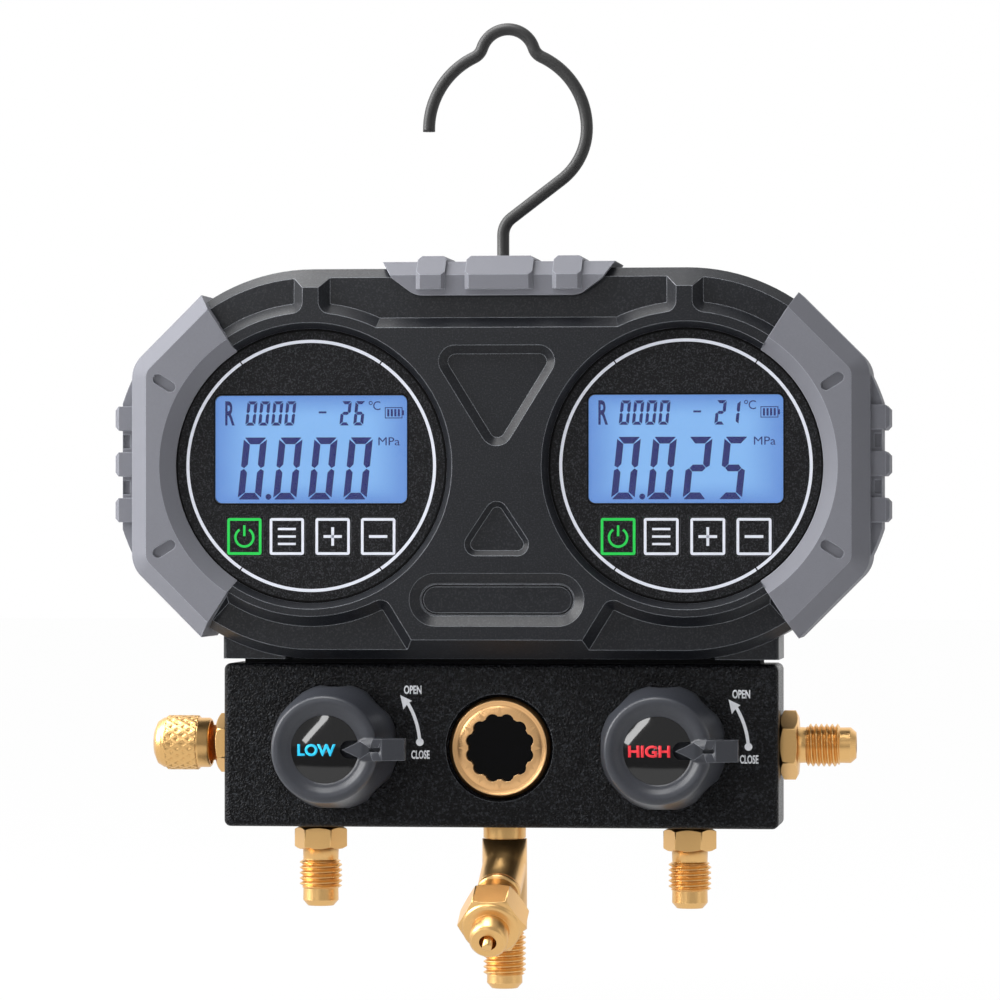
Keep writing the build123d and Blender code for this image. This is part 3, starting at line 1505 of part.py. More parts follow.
def hook_path():
    """Wire centre line: stem, slanted run, big bow, hollow bends and the small arch on top."""
    arch = (arch_shift, -arch_radius + wire_radius)
    bow = (arch_shift, arch[1] - loop_drop)
    far = loop_radius + neck_radius
    near = arch_radius + neck_radius
    rise = (far ** 2 - near ** 2 + loop_drop ** 2) / (2 * loop_drop)
    out = math.sqrt(far ** 2 - rise ** 2)
    low_join = (loop_radius * out / far, loop_radius * rise / far)
    high_join = (arch_radius * out / near, arch_radius * (rise - loop_drop) / near)
    dip = neck_radius / math.hypot(out - low_join[0], rise - low_join[1])
    hollow = (out + (low_join[0] - out) * dip, rise + (low_join[1] - rise) * dip)
    turn = math.atan2(rise - high_join[1] - loop_drop, out - high_join[0])
    start = math.atan2(rise - low_join[1], out - low_join[0])
    middle = (start + turn) / 2
    bend = (out - neck_radius * math.cos(middle), rise - neck_radius * math.sin(middle))
    sweep_centre = (bow[0] + loop_radius - sweep_radius, bow[1])
    angle = math.radians(-sweep_angle)
    foot = on_arc(sweep_centre, sweep_radius, angle)
    half_way = on_arc(sweep_centre, sweep_radius, angle / 2)
    slope = math.radians(90 - sweep_angle)
    corner_z = foot[1] - foot[0] * math.tan(slope)
    tangent = shoulder_radius * math.tan(math.radians(sweep_angle / 2))
    run_end = (tangent * math.cos(slope), corner_z + tangent * math.sin(slope))
    stem_top = (0, corner_z - tangent)
    wide = math.radians(180 - sweep_angle / 2)
    shoulder = on_arc((shoulder_radius, stem_top[1]), shoulder_radius, wide)
    join_angle = math.atan2(low_join[1], low_join[0])
    right_mid = on_arc(bow, loop_radius, join_angle / 2)
    left_mid = (2 * bow[0] - right_mid[0], right_mid[1])
    right_join = (bow[0] + low_join[0], bow[1] + low_join[1])
    left_join = (bow[0] - low_join[0], bow[1] + low_join[1])
    stem_low = (0, hook_head_top())
    tip = (bow[0] - loop_radius, bow[1] - tip_drop)
    lines = Line(stem_low, stem_top)
    lines += ThreePointArc(stem_top, shoulder, run_end)
    lines += Line(run_end, foot)
    lines += ThreePointArc(foot, half_way, (bow[0] + loop_radius, bow[1]))
    lines += ThreePointArc((bow[0] + loop_radius, bow[1]), right_mid, right_join)
    for side in (1, -1):
        low = (bow[0] + side * low_join[0], bow[1] + low_join[1])
        mid = (bow[0] + side * bend[0], bow[1] + bend[1])
        high = (bow[0] + side * high_join[0], arch[1] + high_join[1])
        lines += ThreePointArc(low, mid, high)
    right_high = (bow[0] + high_join[0], arch[1] + high_join[1])
    left_high = (bow[0] - high_join[0], arch[1] + high_join[1])
    lines += ThreePointArc(right_high, (arch[0], arch[1] + arch_radius), left_high)
    lines += ThreePointArc(left_join, left_mid, (bow[0] - loop_radius, bow[1]))
    lines += Line((bow[0] - loop_radius, bow[1]), tip)
    return Plane.XZ * lines


def hook_head_top():
    """Top of the hook's head, under the bush's flange."""
    return housing_top - bush_length - bush_flange - head_gap


def hook():
    """Bent wire hook with an upset head that keeps it in its bush."""
    path = Wire(hook_path().edges())
    start = Plane(origin=(0, mid_y, hook_head_top()), z_dir=(0, 0, 1))
    wire = sweep(start * Circle(wire_radius), path=path)
    head_z = hook_head_top() - hook_head_length / 2
    return wire + Pos(0, mid_y, head_z + 0.01) * Cylinder(hook_head_radius, hook_head_length + 0.02)


def hook_bush():
    """Flanged bush that the hook turns in, clamped between the two shells."""
    low = housing_top - bush_length
    points = [
        (wire_radius + hook_running_gap, low - bush_flange),
        (bush_flange_radius, low - bush_flange),
        (bush_flange_radius, low),
        (bush_radius, low),
        (bush_radius, housing_top),
        (wire_radius + hook_running_gap, housing_top),
    ]
    return turned(points, Pos(0, mid_y, 0))


# ---- Write every node --------------------------------------------------------------------
def main():
    """Build the gauge and write one STEP file for each node."""
    os.makedirs("parts", exist_ok=True)
    save(front_shell(), "front_shell")
    save(rear_shell(), "rear_shell")
    bumper = side_bumper()
    save(bumper, "left_bumper")
    save(mirrored(bumper), "right_bumper")
    save(top_bumper(), "top_bumper")
    for side, name in ((-1, "left"), (1, "right")):
        save(faceplate(side), name + "_faceplate")
        save(lcd_lens(side), name + "_lcd_lens")
        save(lcd_panel(side), name + "_lcd_panel")
        save(circuit_board(side), name + "_circuit_board")
        for offset, label in zip(key_offsets, key_names):
            save(key(side, offset), name + "_" + label + "_key")
    save(board_screws(), "board_screws")
    save(batteries(), "batteries")
    save(battery_contacts(), "battery_contacts")
    save(battery_cover(), "battery_cover")
    save(housing_screws(), "housing_screws")
    save(manifold_block(), "manifold_block")
    save(base_gasket(), "base_gasket")
    save(block_screws(), "block_screws")
    for side, name in ((-1, "low"), (1, "high")):
        save(pressure_sensor(side), name + "_pressure_sensor")
        save(valve_bonnet(side), name + "_valve_bonnet")
        save(valve_spindle(side), name + "_valve_spindle")
        save(knob(side), name + "_knob")
        save(knob_cap(side), name + "_knob_cap")
        save(knob_screw(side), name + "_knob_screw")
        save(hose_port(side), name + "_hose_port")
    save(spindle_seals(), "spindle_seals")
    save(ball_seats(), "ball_seats")
    save(sight_glass_ring(), "sight_glass_ring")
    save(sight_glass(), "sight_glass")
    save(sight_glass_seal(), "sight_glass_seal")
    save(right_side_port(), "right_side_port")
    save(left_side_port(), "left_side_port")
    save(port_cap(), "port_cap")
    save(port_cap_seal_disc(), "port_cap_seal")
    save(centre_port(), "centre_port")
    save(bleed_valve_body(), "bleed_valve_body")
    save(bleed_pin(), "bleed_pin")
    save(bleed_spring(), "bleed_spring")
    save(hook(), "hook")
    save(hook_bush(), "hook_bush")


main()
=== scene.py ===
"""Looks of the refrigerant manifold gauge: its finishes, printed marks, threads and studio.

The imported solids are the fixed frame. Solids whose shape is right get a finish on their own
material slots. Threads, knurls, printed marks, digits and windows are built here, in metres,
where the frame says that they belong.
"""

import json
import logging
import math
from contextlib import contextmanager
from dataclasses import dataclass, field, replace
from enum import Enum
from typing import Callable, Dict, Iterable, Iterator, List, Optional, Sequence, Tuple, Union

import bmesh
import bpy
from mathutils import Matrix, Quaternion, Vector

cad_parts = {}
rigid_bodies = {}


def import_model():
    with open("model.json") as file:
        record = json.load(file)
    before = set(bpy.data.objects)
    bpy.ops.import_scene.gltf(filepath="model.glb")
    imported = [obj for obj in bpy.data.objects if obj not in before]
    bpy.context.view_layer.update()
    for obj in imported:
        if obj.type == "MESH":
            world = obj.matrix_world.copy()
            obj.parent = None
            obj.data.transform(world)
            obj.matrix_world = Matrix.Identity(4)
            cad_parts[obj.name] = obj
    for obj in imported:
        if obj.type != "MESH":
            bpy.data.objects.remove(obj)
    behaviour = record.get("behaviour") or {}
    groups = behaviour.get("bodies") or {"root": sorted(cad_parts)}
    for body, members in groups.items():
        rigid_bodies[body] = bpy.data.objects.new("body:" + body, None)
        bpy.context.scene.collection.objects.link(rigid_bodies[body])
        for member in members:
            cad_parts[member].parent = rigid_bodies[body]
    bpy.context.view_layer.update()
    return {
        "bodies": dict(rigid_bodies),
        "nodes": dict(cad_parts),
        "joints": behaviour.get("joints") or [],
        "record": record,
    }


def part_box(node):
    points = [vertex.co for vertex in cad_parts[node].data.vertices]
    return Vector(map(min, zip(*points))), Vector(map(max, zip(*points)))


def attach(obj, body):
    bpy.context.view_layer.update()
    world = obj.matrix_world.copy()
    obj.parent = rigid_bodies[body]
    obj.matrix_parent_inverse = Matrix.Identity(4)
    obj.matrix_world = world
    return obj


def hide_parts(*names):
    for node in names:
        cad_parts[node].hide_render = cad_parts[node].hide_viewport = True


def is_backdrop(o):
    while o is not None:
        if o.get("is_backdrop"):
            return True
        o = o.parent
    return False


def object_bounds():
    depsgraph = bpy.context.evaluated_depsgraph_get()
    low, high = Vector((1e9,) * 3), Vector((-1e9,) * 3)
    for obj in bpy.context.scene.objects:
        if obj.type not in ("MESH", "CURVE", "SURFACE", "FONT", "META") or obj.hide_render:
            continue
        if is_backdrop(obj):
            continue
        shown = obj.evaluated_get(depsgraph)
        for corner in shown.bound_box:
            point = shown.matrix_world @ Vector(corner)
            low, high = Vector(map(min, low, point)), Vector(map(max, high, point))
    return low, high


log = logging.getLogger("manifold_gauge")

MM = 0.001
WELD = 1e-6
Socket = bpy.types.NodeSocket
Value = Union[float, Socket]
Colour = Tuple[float, ...]
Point = Tuple[float, float]


# ---- Small helpers ------------------------------------------------------------------


def linear(code: str) -> Colour:
    """Turns a screen colour into the scene's linear values.

    Args:
        code: The colour as six hexadecimal digits.

    Returns:
        Red, green, blue and an alpha of one.
    """
    parts = [int(code[i : i + 2], 16) / 255 for i in (0, 2, 4)]
    straight = [p / 12.92 if p <= 0.04045 else ((p + 0.055) / 1.055) ** 2.4 for p in parts]
    return (straight[0], straight[1], straight[2], 1.0)


def middle_of(node: str) -> Vector:
    """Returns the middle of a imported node's box, in metres."""
    low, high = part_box(node)
    return (low + high) / 2


def front_of(node: str) -> Vector:
    """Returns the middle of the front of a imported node's box, in metres."""
    middle = middle_of(node)
    return Vector((middle.x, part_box(node)[0].y, middle.z))


def facing_front(place: Vector) -> Matrix:
    """Returns the matrix that stands a flat drawing up to face the front at a place."""
    return Matrix.Translation(place) @ Matrix.Rotation(math.radians(90), 4, "X")


def object_from(name: str, mesh: bpy.types.Mesh, material: bpy.types.Material) -> bpy.types.Object:
    """Links a new object that holds a mesh and one material.

    Args:
        name: The piece's name.
        mesh: Its mesh, already in place.
        material: The finish it is dressed in.

    Returns:
        The new object, at the origin.
    """
    mesh.name = name
    mesh.materials.clear()
    mesh.materials.append(material)
    piece = bpy.data.objects.new(name, mesh)
    bpy.context.scene.collection.objects.link(piece)
    return piece


@contextmanager
def editing(mesh: bpy.types.Mesh) -> Iterator[bmesh.types.BMesh]:
    """Opens a mesh for editing and writes it back at the end.

    Args:
        mesh: The mesh to change.

    Returns:
        The editable copy, for the length of a with block.
    """
    work = bmesh.new()
    work.from_mesh(mesh)
    yield work
    work.to_mesh(mesh)
    work.free()


def shade(mesh: bpy.types.Mesh, sharp: float) -> None:
    """Shades a mesh smooth below an angle in degrees."""
    mesh.shade_smooth()
    mesh.set_sharp_from_angle(angle=math.radians(sharp))


def closed_outwards(mesh: bpy.types.Mesh, sharp: float) -> None:
    """Welds a mesh's doubles, turns its faces outwards and shades it.

    Args:
        mesh: The mesh to tidy in place.
        sharp: Edges over this angle stay sharp, in degrees.
    """
    with editing(mesh) as work:
        bmesh.ops.remove_doubles(work, verts=work.verts, dist=WELD)
        bmesh.ops.recalc_face_normals(work, faces=work.faces)
    shade(mesh, sharp)


def close_tube(mesh: bpy.types.Mesh, bore: float, sharp: float = 40.0) -> None:
    """Turns an open sleeve round local Z into a closed tube with a plain bore.

    Args:
        mesh: The sleeve, open at both ends, changed in place.
        bore: Radius of the bore in millimetres.
        sharp: Edges over this angle stay sharp, in degrees.
    """
    with editing(mesh) as work:
        bmesh.ops.remove_doubles(work, verts=work.verts, dist=0.004 * MM)
        bmesh.ops.dissolve_degenerate(work, edges=work.edges, dist=0.002 * MM)
        rims = [edge for edge in work.edges if edge.is_boundary]
        grown = bmesh.ops.extrude_edge_only(work, edges=rims)["geom"]
        for vert in (item for item in grown if isinstance(item, bmesh.types.BMVert)):
            share = bore * MM / max(vert.co.xy.length, 1e-9)
            vert.co.x, vert.co.y = vert.co.x * share, vert.co.y * share
        inner = [item for item in grown if isinstance(item, bmesh.types.BMEdge)]
        bmesh.ops.bridge_loops(work, edges=inner)
        bmesh.ops.recalc_face_normals(work, faces=work.faces)
    shade(mesh, sharp)


def plate_mesh(name: str, outlines: Iterable[Sequence[Point]], thickness: float) -> bpy.types.Mesh:
    """Makes thin printed plates from flat outlines.

    Args:
        name: The mesh's name.
        outlines: Closed outlines in millimetres, each as its corner points.
        thickness: The plates' thickness in millimetres.

    Returns:
        A mesh in the local XY plane, as thick as the ink.
    """
    mesh = bpy.data.meshes.new(name)
    with editing(mesh) as work:
        for outline in outlines:
            bottom, top = ([work.verts.new(Vector((x, y, z)) * MM) for x, y in outline]
                           for z in (0, thickness))
            work.faces.new(top)
            work.faces.new(list(reversed(bottom)))
            for step in range(len(outline)):
                after = (step + 1) % len(outline)
                work.faces.new([bottom[step], bottom[after], top[after], top[step]])
        bmesh.ops.recalc_face_normals(work, faces=work.faces)
    return mesh


class Sketch:
    """Adds, sets and links the nodes of one node tree."""

    def __init__(self, tree: bpy.types.NodeTree) -> None:
        """Keeps the tree that nodes are added to."""
        self.tree = tree

    def add(self, kind: str, **settings: object) -> bpy.types.Node:
        """Adds a node and sets its properties.

        Args:
            kind: The node's type name.
            **settings: Properties of the node, by name.

        Returns:
            The new node.
        """
        node = self.tree.nodes.new(kind)
        for name, value in settings.items():
            setattr(node, name, value)
        return node

    def set(self, target: Socket, value: object) -> None:
        """Links an input to a socket, or gives it a plain value.

        Args:
            target: The input.
            value: The socket or the value.
        """
        if isinstance(value, bpy.types.NodeSocket):
            self.tree.links.new(value, target)
        else:
            target.default_value = value

    def feed(self, node: bpy.types.Node, **inputs: object) -> bpy.types.Node:
        """Sets or links a node's inputs, named with underscores for spaces.

        Args:
            node: The node to feed.
            **inputs: A socket to link, or a value to set, for each input.

        Returns:
            The same node.
        """
        for name, value in inputs.items():
            self.set(node.inputs[name.replace("_", " ")], value)
        return node

    def run(self, kind: str, *values: object, out: int = 0, **settings: object) -> Socket:
        """Adds a node and fills its first inputs in order.

        Args:
            kind: The node's type name.
            *values: Its inputs, as sockets or plain values.
            out: Which output is wanted.
            **settings: Properties of the node, by name.

        Returns:
            The output's socket.
        """
        node = self.add(kind, **settings)
        for target, value in zip(node.inputs, values):
            self.set(target, value)
        return node.outputs[out]

    def sum(self, operation: str, *values: Value, clamp: bool = False) -> Socket:
        """Adds a Math node and returns its result."""
        return self.run("ShaderNodeMath", *values, operation=operation, use_clamp=clamp)

    def vector(self, operation: str, *values: object, out: int = 0) -> Socket:
        """Adds a Vector Math node and returns its result."""
        return self.run("ShaderNodeVectorMath", *values, out=out, operation=operation)

    def split(self, place: Socket) -> Sequence[Socket]:
        """Returns the X, Y and Z of a place."""
        return self.run("ShaderNodeSeparateXYZ", place).node.outputs[:]

    def polar(self, radius: Socket, angle: Socket, height: Socket) -> Socket:
        """Returns the place at a radius, an angle and a height round Z."""
        parts = [self.sum("MULTIPLY", radius, self.sum(turn, angle)) for turn in ("COSINE", "SINE")]
        return self.run("ShaderNodeCombineXYZ", *parts, height)

    def radius(self, across: Socket, up: Socket) -> Socket:
        """Returns how far a place is from an axis."""
        squares = [self.sum("MULTIPLY", way, way) for way in (across, up)]
        return self.sum("SQRT", self.sum("ADD", *squares))

    def noise(self, place: Socket, scale: float, detail: float = 2.0, rough: float = 0.5) -> Socket:
        """Adds soft noise.

        Args:
            place: Where it is read.
            scale: Its cells per metre.
            detail: How many finer layers it has.
            rough: How strong those are.

        Returns:
            The noise's value.
        """
        node = self.add("ShaderNodeTexNoise")
        self.feed(node, Vector=place, Scale=scale, Detail=detail, Roughness=rough)
        return node.outputs["Fac"]

    def cells(self, place: Socket, scale: float, smoothness: float) -> Socket:
        """Returns the distance to the nearest of some rounded cells."""
        node = self.add("ShaderNodeTexVoronoi", feature="SMOOTH_F1")
        return self.feed(node, Vector=place, Scale=scale, Smoothness=smoothness).outputs["Distance"]

    def ramp(self, value: Socket, start: Point, end: Point = (0.0, 1.0),
             soft: bool = False) -> Socket:
        """Maps a value from one range to another, and keeps it inside.

        Args:
            value: The value.
            start: Its range.
            end: The range it is mapped to.
            soft: Whether the ends are eased.

        Returns:
            The mapped value.
        """
        node = self.add("ShaderNodeMapRange", interpolation_type="SMOOTHSTEP" if soft else "LINEAR")
        self.feed(node, Value=value, From_Min=start[0], From_Max=start[1], To_Min=end[0],
                  To_Max=end[1])
        return node.outputs["Result"]

    def blend(self, share: Socket, first: object, second: object) -> Socket:
        """Returns a colour between two, each a socket or a plain colour."""
        node = self.add("ShaderNodeMix", data_type="RGBA")
        return self.feed(node, Factor=share, A=first, B=second).outputs["Result"]

    def object_place(self) -> Socket:
        """Returns the object coordinates."""
        return self.add("ShaderNodeTexCoord").outputs["Object"]

    def point_place(self) -> Socket:
        """Returns the place of each point of a shape."""
        return self.add("GeometryNodeInputPosition").outputs[0]

    def moved(self, shape: Socket, place: Socket) -> Socket:
        """Returns a shape with its points at new places."""
        node = self.add("GeometryNodeSetPosition")
        return self.feed(node, Geometry=shape, Position=place).outputs[0]

    def copies(self, points: Socket, shape: Socket) -> Socket:
        """Returns a shape copied to every point and made real."""
        placed = self.feed(self.add("GeometryNodeInstanceOnPoints"), Points=points, Instance=shape)
        return self.run("GeometryNodeRealizeInstances", placed.outputs[0])

    def welded(self, shape: Socket, distance: float) -> Socket:
        """Returns a shape with its near points merged, by a distance in millimetres."""
        node = self.add("GeometryNodeMergeByDistance")
        return self.feed(node, Geometry=shape, Distance=distance * MM).outputs[0]


# ---- Finishes -----------------------------------------------------------------------


class Texture(Enum):
    """Fine relief that a surface carries."""

    SPARK_GRAIN = "even grain of a spark-eroded mould"
    PEBBLE = "coarse pebble of a printed film"
    WRINKLE = "leathery wrinkle of baked paint"
    TURNED = "fine rings left by a lathe"
    DRAWN = "streaks along drawn bar"
    SMOOTH = "polished, with faint unevenness"


@dataclass(frozen=True)
class Surface:
    """Base of every finish: it builds its material once."""

    name: str

    def material(self) -> bpy.types.Material:
        """Builds the material on the first call.

        Returns:
            The material, the same one on every call.
        """
        made = bpy.data.materials.get(self.name)
        if not made:
            made = bpy.data.materials.new(self.name)
            made.use_nodes = True
            self.fill(Sketch(made.node_tree), made.node_tree.nodes["Principled BSDF"])
        return made

    def fill(self, sketch: Sketch, shader: bpy.types.Node) -> None:
        """Fills in the shader's inputs."""
        raise NotImplementedError(self.name)


@dataclass(frozen=True)
class Finish(Surface):
    """A surface finish with its relief, gloss, edge wear, painted highlights and painted glow.

    The relief sizes are in millimetres. The axis of a turned finish is along one of the
    frame's axes, through the point given.
    """

    colour: str
    roughness: float
    texture: Texture = Texture.SPARK_GRAIN
    metallic: float = 0.0
    specular: float = 0.4
    grain: float = 0.35
    depth: float = 0.02
    mottle: float = 0.12
    rough_spread: float = 0.06
    edge_radius: float = 0.25
    # edge_lift and edge_colour give the edges a lighter tone: partly wear, partly a painted
    # highlight.
    edge_lift: float = 0.5
    edge_colour: str = "9a9ca2"
    coat: float = 0.0
    coat_roughness: float = 0.1
    axis: str = "Y"
    centre: Tuple[float, float, float] = (0.0, 0.0, 0.0)
    grooves: Tuple[float, ...] = ()
    # lit is a painted glow in the surface's own tone: printed ink is no lamp; on the liquid-crystal
    # bars it stands for backlight let through them.
    lit: float = 0.0
    # The specks are a painted highlight: lighter spots that stand for grain tips catching the light.
    fleck: float = 0.0
    fleck_colour: str = "6a6d73"

    CLOUD_SCALE = 90.0
    FLECK_TIPS = (0.48, 0.72)
    WEAR_SCALE = 1400.0
    WORN_LEAN = (0.006, 0.09)
    DRIFT = 0.6
    BAR_STRETCH = 0.04
    RING_STRETCH = 0.0004
    GROOVE_WIDTH = 0.16
    GROOVE_DEPTH = -9.0

    def fill(self, sketch: Sketch, shader: bpy.types.Node) -> None:
        """Builds tone, gloss and relief, with the painted highlights and the painted glow.

        Args:
            sketch: The material's tree.
            shader: Its shader.
        """
        place = sketch.object_place()
        bevel = sketch.feed(sketch.add("ShaderNodeBevel", samples=4), Radius=self.edge_radius * MM)
        rounded = bevel.outputs["Normal"]
        bump = sketch.feed(sketch.add("ShaderNodeBump"), Height=self.relief(sketch, place),
                           Normal=rounded, Strength=1.0, Distance=self.depth * MM)
        clouds = self.clouds(sketch, place)
        tone = sketch.blend(clouds, self.shifted(-self.mottle), self.shifted(self.mottle))
        # Painted highlight specks on the grain.
        if self.fleck:
            tone = sketch.blend(self.flecks(sketch, place), tone, linear(self.fleck_colour))
        # Lighter edges: partly wear, partly a painted highlight along every edge.
        tone = sketch.blend(self.worn_edges(sketch, rounded, place), tone, linear(self.edge_colour))
        gloss = sketch.sum("MULTIPLY_ADD", clouds, 2 * self.rough_spread,
                           self.roughness - self.rough_spread)
        sketch.feed(shader, Base_Color=tone, Roughness=gloss, Normal=bump.outputs["Normal"],
                    Metallic=self.metallic, Specular_IOR_Level=self.specular,
                    Coat_Weight=self.coat, Coat_Roughness=self.coat_roughness)
        # Painted glow: the surface gives off light in its own tone.
        if self.lit:
            sketch.feed(shader, Emission_Color=tone, Emission_Strength=self.lit)

    def shifted(self, share: float) -> Colour:
        """Returns the main colour, lighter or darker by a share."""
        return tuple(min(1.0, c * (1 + share)) for c in linear(self.colour)[:3]) + (1.0,)

    def clouds(self, sketch: Sketch, place: Socket) -> Socket:
        """Adds the slow, soft unevenness of tone and gloss.

        Args:
            sketch: The material's tree.
            place: Object coordinates.

        Returns:
            A value from zero to one.
        """
        broad = sketch.noise(place, self.CLOUD_SCALE, 3.0, 0.55)
        fine = sketch.noise(place, 0.8 / (self.grain * MM))
        return sketch.sum("MULTIPLY_ADD", broad, 0.5, sketch.sum("MULTIPLY_ADD", fine, 1.6, -0.55),
                          clamp=True)

    def flecks(self, sketch: Sketch, place: Socket) -> Socket:
        """Returns how much painted highlight to show: lighter specks that stand for grain tips
        catching the light.
        """
        tips = sketch.noise(place, 0.85 / (self.grain * MM), 1.0, 0.7)
        return sketch.ramp(tips, self.FLECK_TIPS, (0.0, self.fleck), soft=True)

    def worn_edges(self, sketch: Sketch, rounded: Socket, place: Socket) -> Socket:
        """Finds the edges by how far the rounded normal leans from the plain one, for edge wear and a
        painted highlight.

        Args:
            sketch: The material's tree.
            rounded: The rounded normal.
            place: Object coordinates.

        Returns:
            How much of the lighter edge tone, partly wear and partly painted highlight, to show.
        """
        plain = sketch.add("ShaderNodeNewGeometry").outputs["Normal"]
        same = sketch.vector("DOT_PRODUCT", rounded, plain, out=1)
        spread = sketch.sum("MULTIPLY_ADD", sketch.noise(place, self.WEAR_SCALE), 1.2, 0.4)
        raised = sketch.sum("MULTIPLY", sketch.sum("SUBTRACT", 1.0, same), spread)
        return sketch.ramp(raised, self.WORN_LEAN, (0.0, self.edge_lift))

    def relief(self, sketch: Sketch, place: Socket) -> Socket:
        """Adds the finish's own relief.

        Args:
            sketch: The material's tree.
            place: Object coordinates.

        Returns:
            The relief's height.
        """
        scale = 1.0 / (self.grain * MM)
        if self.texture is Texture.WRINKLE:
            drift = sketch.noise(place, scale * 0.8).node.outputs["Color"]
            warped = sketch.vector("MULTIPLY_ADD", drift, (self.DRIFT / scale,) * 3, place)
            fine = sketch.noise(place, scale * 2.2, 3.0)
            return sketch.sum("MULTIPLY_ADD", fine, 0.5, sketch.cells(warped, scale, 0.5))
        if self.texture is Texture.PEBBLE:
            return sketch.sum("SUBTRACT", 1.0, sketch.cells(place, scale, 0.6))
        if self.texture in (Texture.TURNED, Texture.DRAWN):
            return self.lathe_lines(sketch, place, scale)
        return sketch.noise(place, scale, 1.0 if self.texture is Texture.SMOOTH else 4.0, 0.6)

    def lathe_lines(self, sketch: Sketch, place: Socket, scale: float) -> Socket:
        """Adds tool lines that run round an axis, or along it for drawn bar.

        Args:
            sketch: The material's tree.
            place: Object coordinates.
            scale: Lines per metre.

        Returns:
            The relief's height.
        """
        parts = dict(zip("XYZ", sketch.split(
            sketch.vector("SUBTRACT", place, tuple(c * MM for c in self.centre)))))
        along = parts.pop(self.axis)
        others = list(parts.values())
        radius = sketch.radius(*others)
        if self.texture is Texture.DRAWN:
            lines = (sketch.sum("MULTIPLY", along, self.BAR_STRETCH), *others)
        else:
            turn = sketch.sum("MULTIPLY", sketch.sum("ARCTAN2", *others), self.RING_STRETCH)
            lines = (along, radius, turn)
        height = sketch.noise(sketch.run("ShaderNodeCombineXYZ", *lines), scale)
        for groove in self.grooves:
            off = sketch.sum("ABSOLUTE", sketch.sum("SUBTRACT", radius, groove * MM))
            cut = sketch.ramp(off, (0.0, self.GROOVE_WIDTH * MM), (self.GROOVE_DEPTH, 0.0))
            height = sketch.sum("ADD", height, cut)
        return height


@dataclass(frozen=True)
class ClearWindow(Surface):
    """Clear polycarbonate with a hint of its own haze."""

    name: str = "clear_window"
    tint: str = "f4f8fb"
    roughness: float = 0.02

    def fill(self, sketch: Sketch, shader: bpy.types.Node) -> None:
        """Makes it clear, with a slightly uneven gloss.

        Args:
            sketch: The material's tree.
            shader: Its shader.
        """
        haze = sketch.noise(sketch.object_place(), 220.0, 3.0)
        rough = sketch.sum("MULTIPLY_ADD", haze, 0.02, self.roughness - 0.01)
        sketch.feed(shader, Transmission_Weight=1.0, IOR=1.45, Base_Color=linear(self.tint),
                    Roughness=rough)


@dataclass(frozen=True)
class BacklitPanel(Surface):
    """A blue backlit panel, a little darker and deeper towards its edges.

    Sizes are in millimetres; the same panel stands on each side of the middle.
    """

    name: str = "backlit_panel"
    middle: str = "84baf2"
    rim: str = "5c8ed8"
    unlit_middle: str = "2b3e5c"
    unlit_rim: str = "223250"
    strength: float = 0.92
    spread: float = 48.7
    height: float = -108.1
    half_width: float = 25.2
    half_height: float = 14.1
    fade: Tuple[float, float] = (0.55, 1.05)

    def share_out(self, sketch: Sketch, place: Socket, centre: float, half: float) -> Socket:
        """Returns how far out a place is along one axis, as a share of the panel's half size."""
        off = sketch.sum("ABSOLUTE", sketch.sum("SUBTRACT", place, centre * MM))
        return sketch.sum("DIVIDE", off, half * MM)

    def fill(self, sketch: Sketch, shader: bpy.types.Node) -> None:
        """Lights the panel, less towards its rim.

        Args:
            sketch: The material's tree.
            shader: Its shader.
        """
        place = sketch.object_place()
        x, _, z = sketch.split(place)
        across = self.share_out(sketch, sketch.sum("ABSOLUTE", x), self.spread, self.half_width)
        up = self.share_out(sketch, z, self.height, self.half_height)
        shade_in = sketch.ramp(sketch.sum("SMOOTH_MAX", across, up, 0.3), self.fade, soft=True)
        uneven = sketch.sum("MULTIPLY_ADD", sketch.noise(place, 120.0), 0.16, -0.08)
        amount = sketch.sum("ADD", shade_in, uneven, clamp=True)
        glow = sketch.blend(amount, linear(self.middle), linear(self.rim))
        dim = sketch.blend(amount, linear(self.unlit_middle), linear(self.unlit_rim))
        sketch.feed(shader, Emission_Color=glow, Emission_Strength=self.strength, Base_Color=dim,
                    Roughness=0.5)


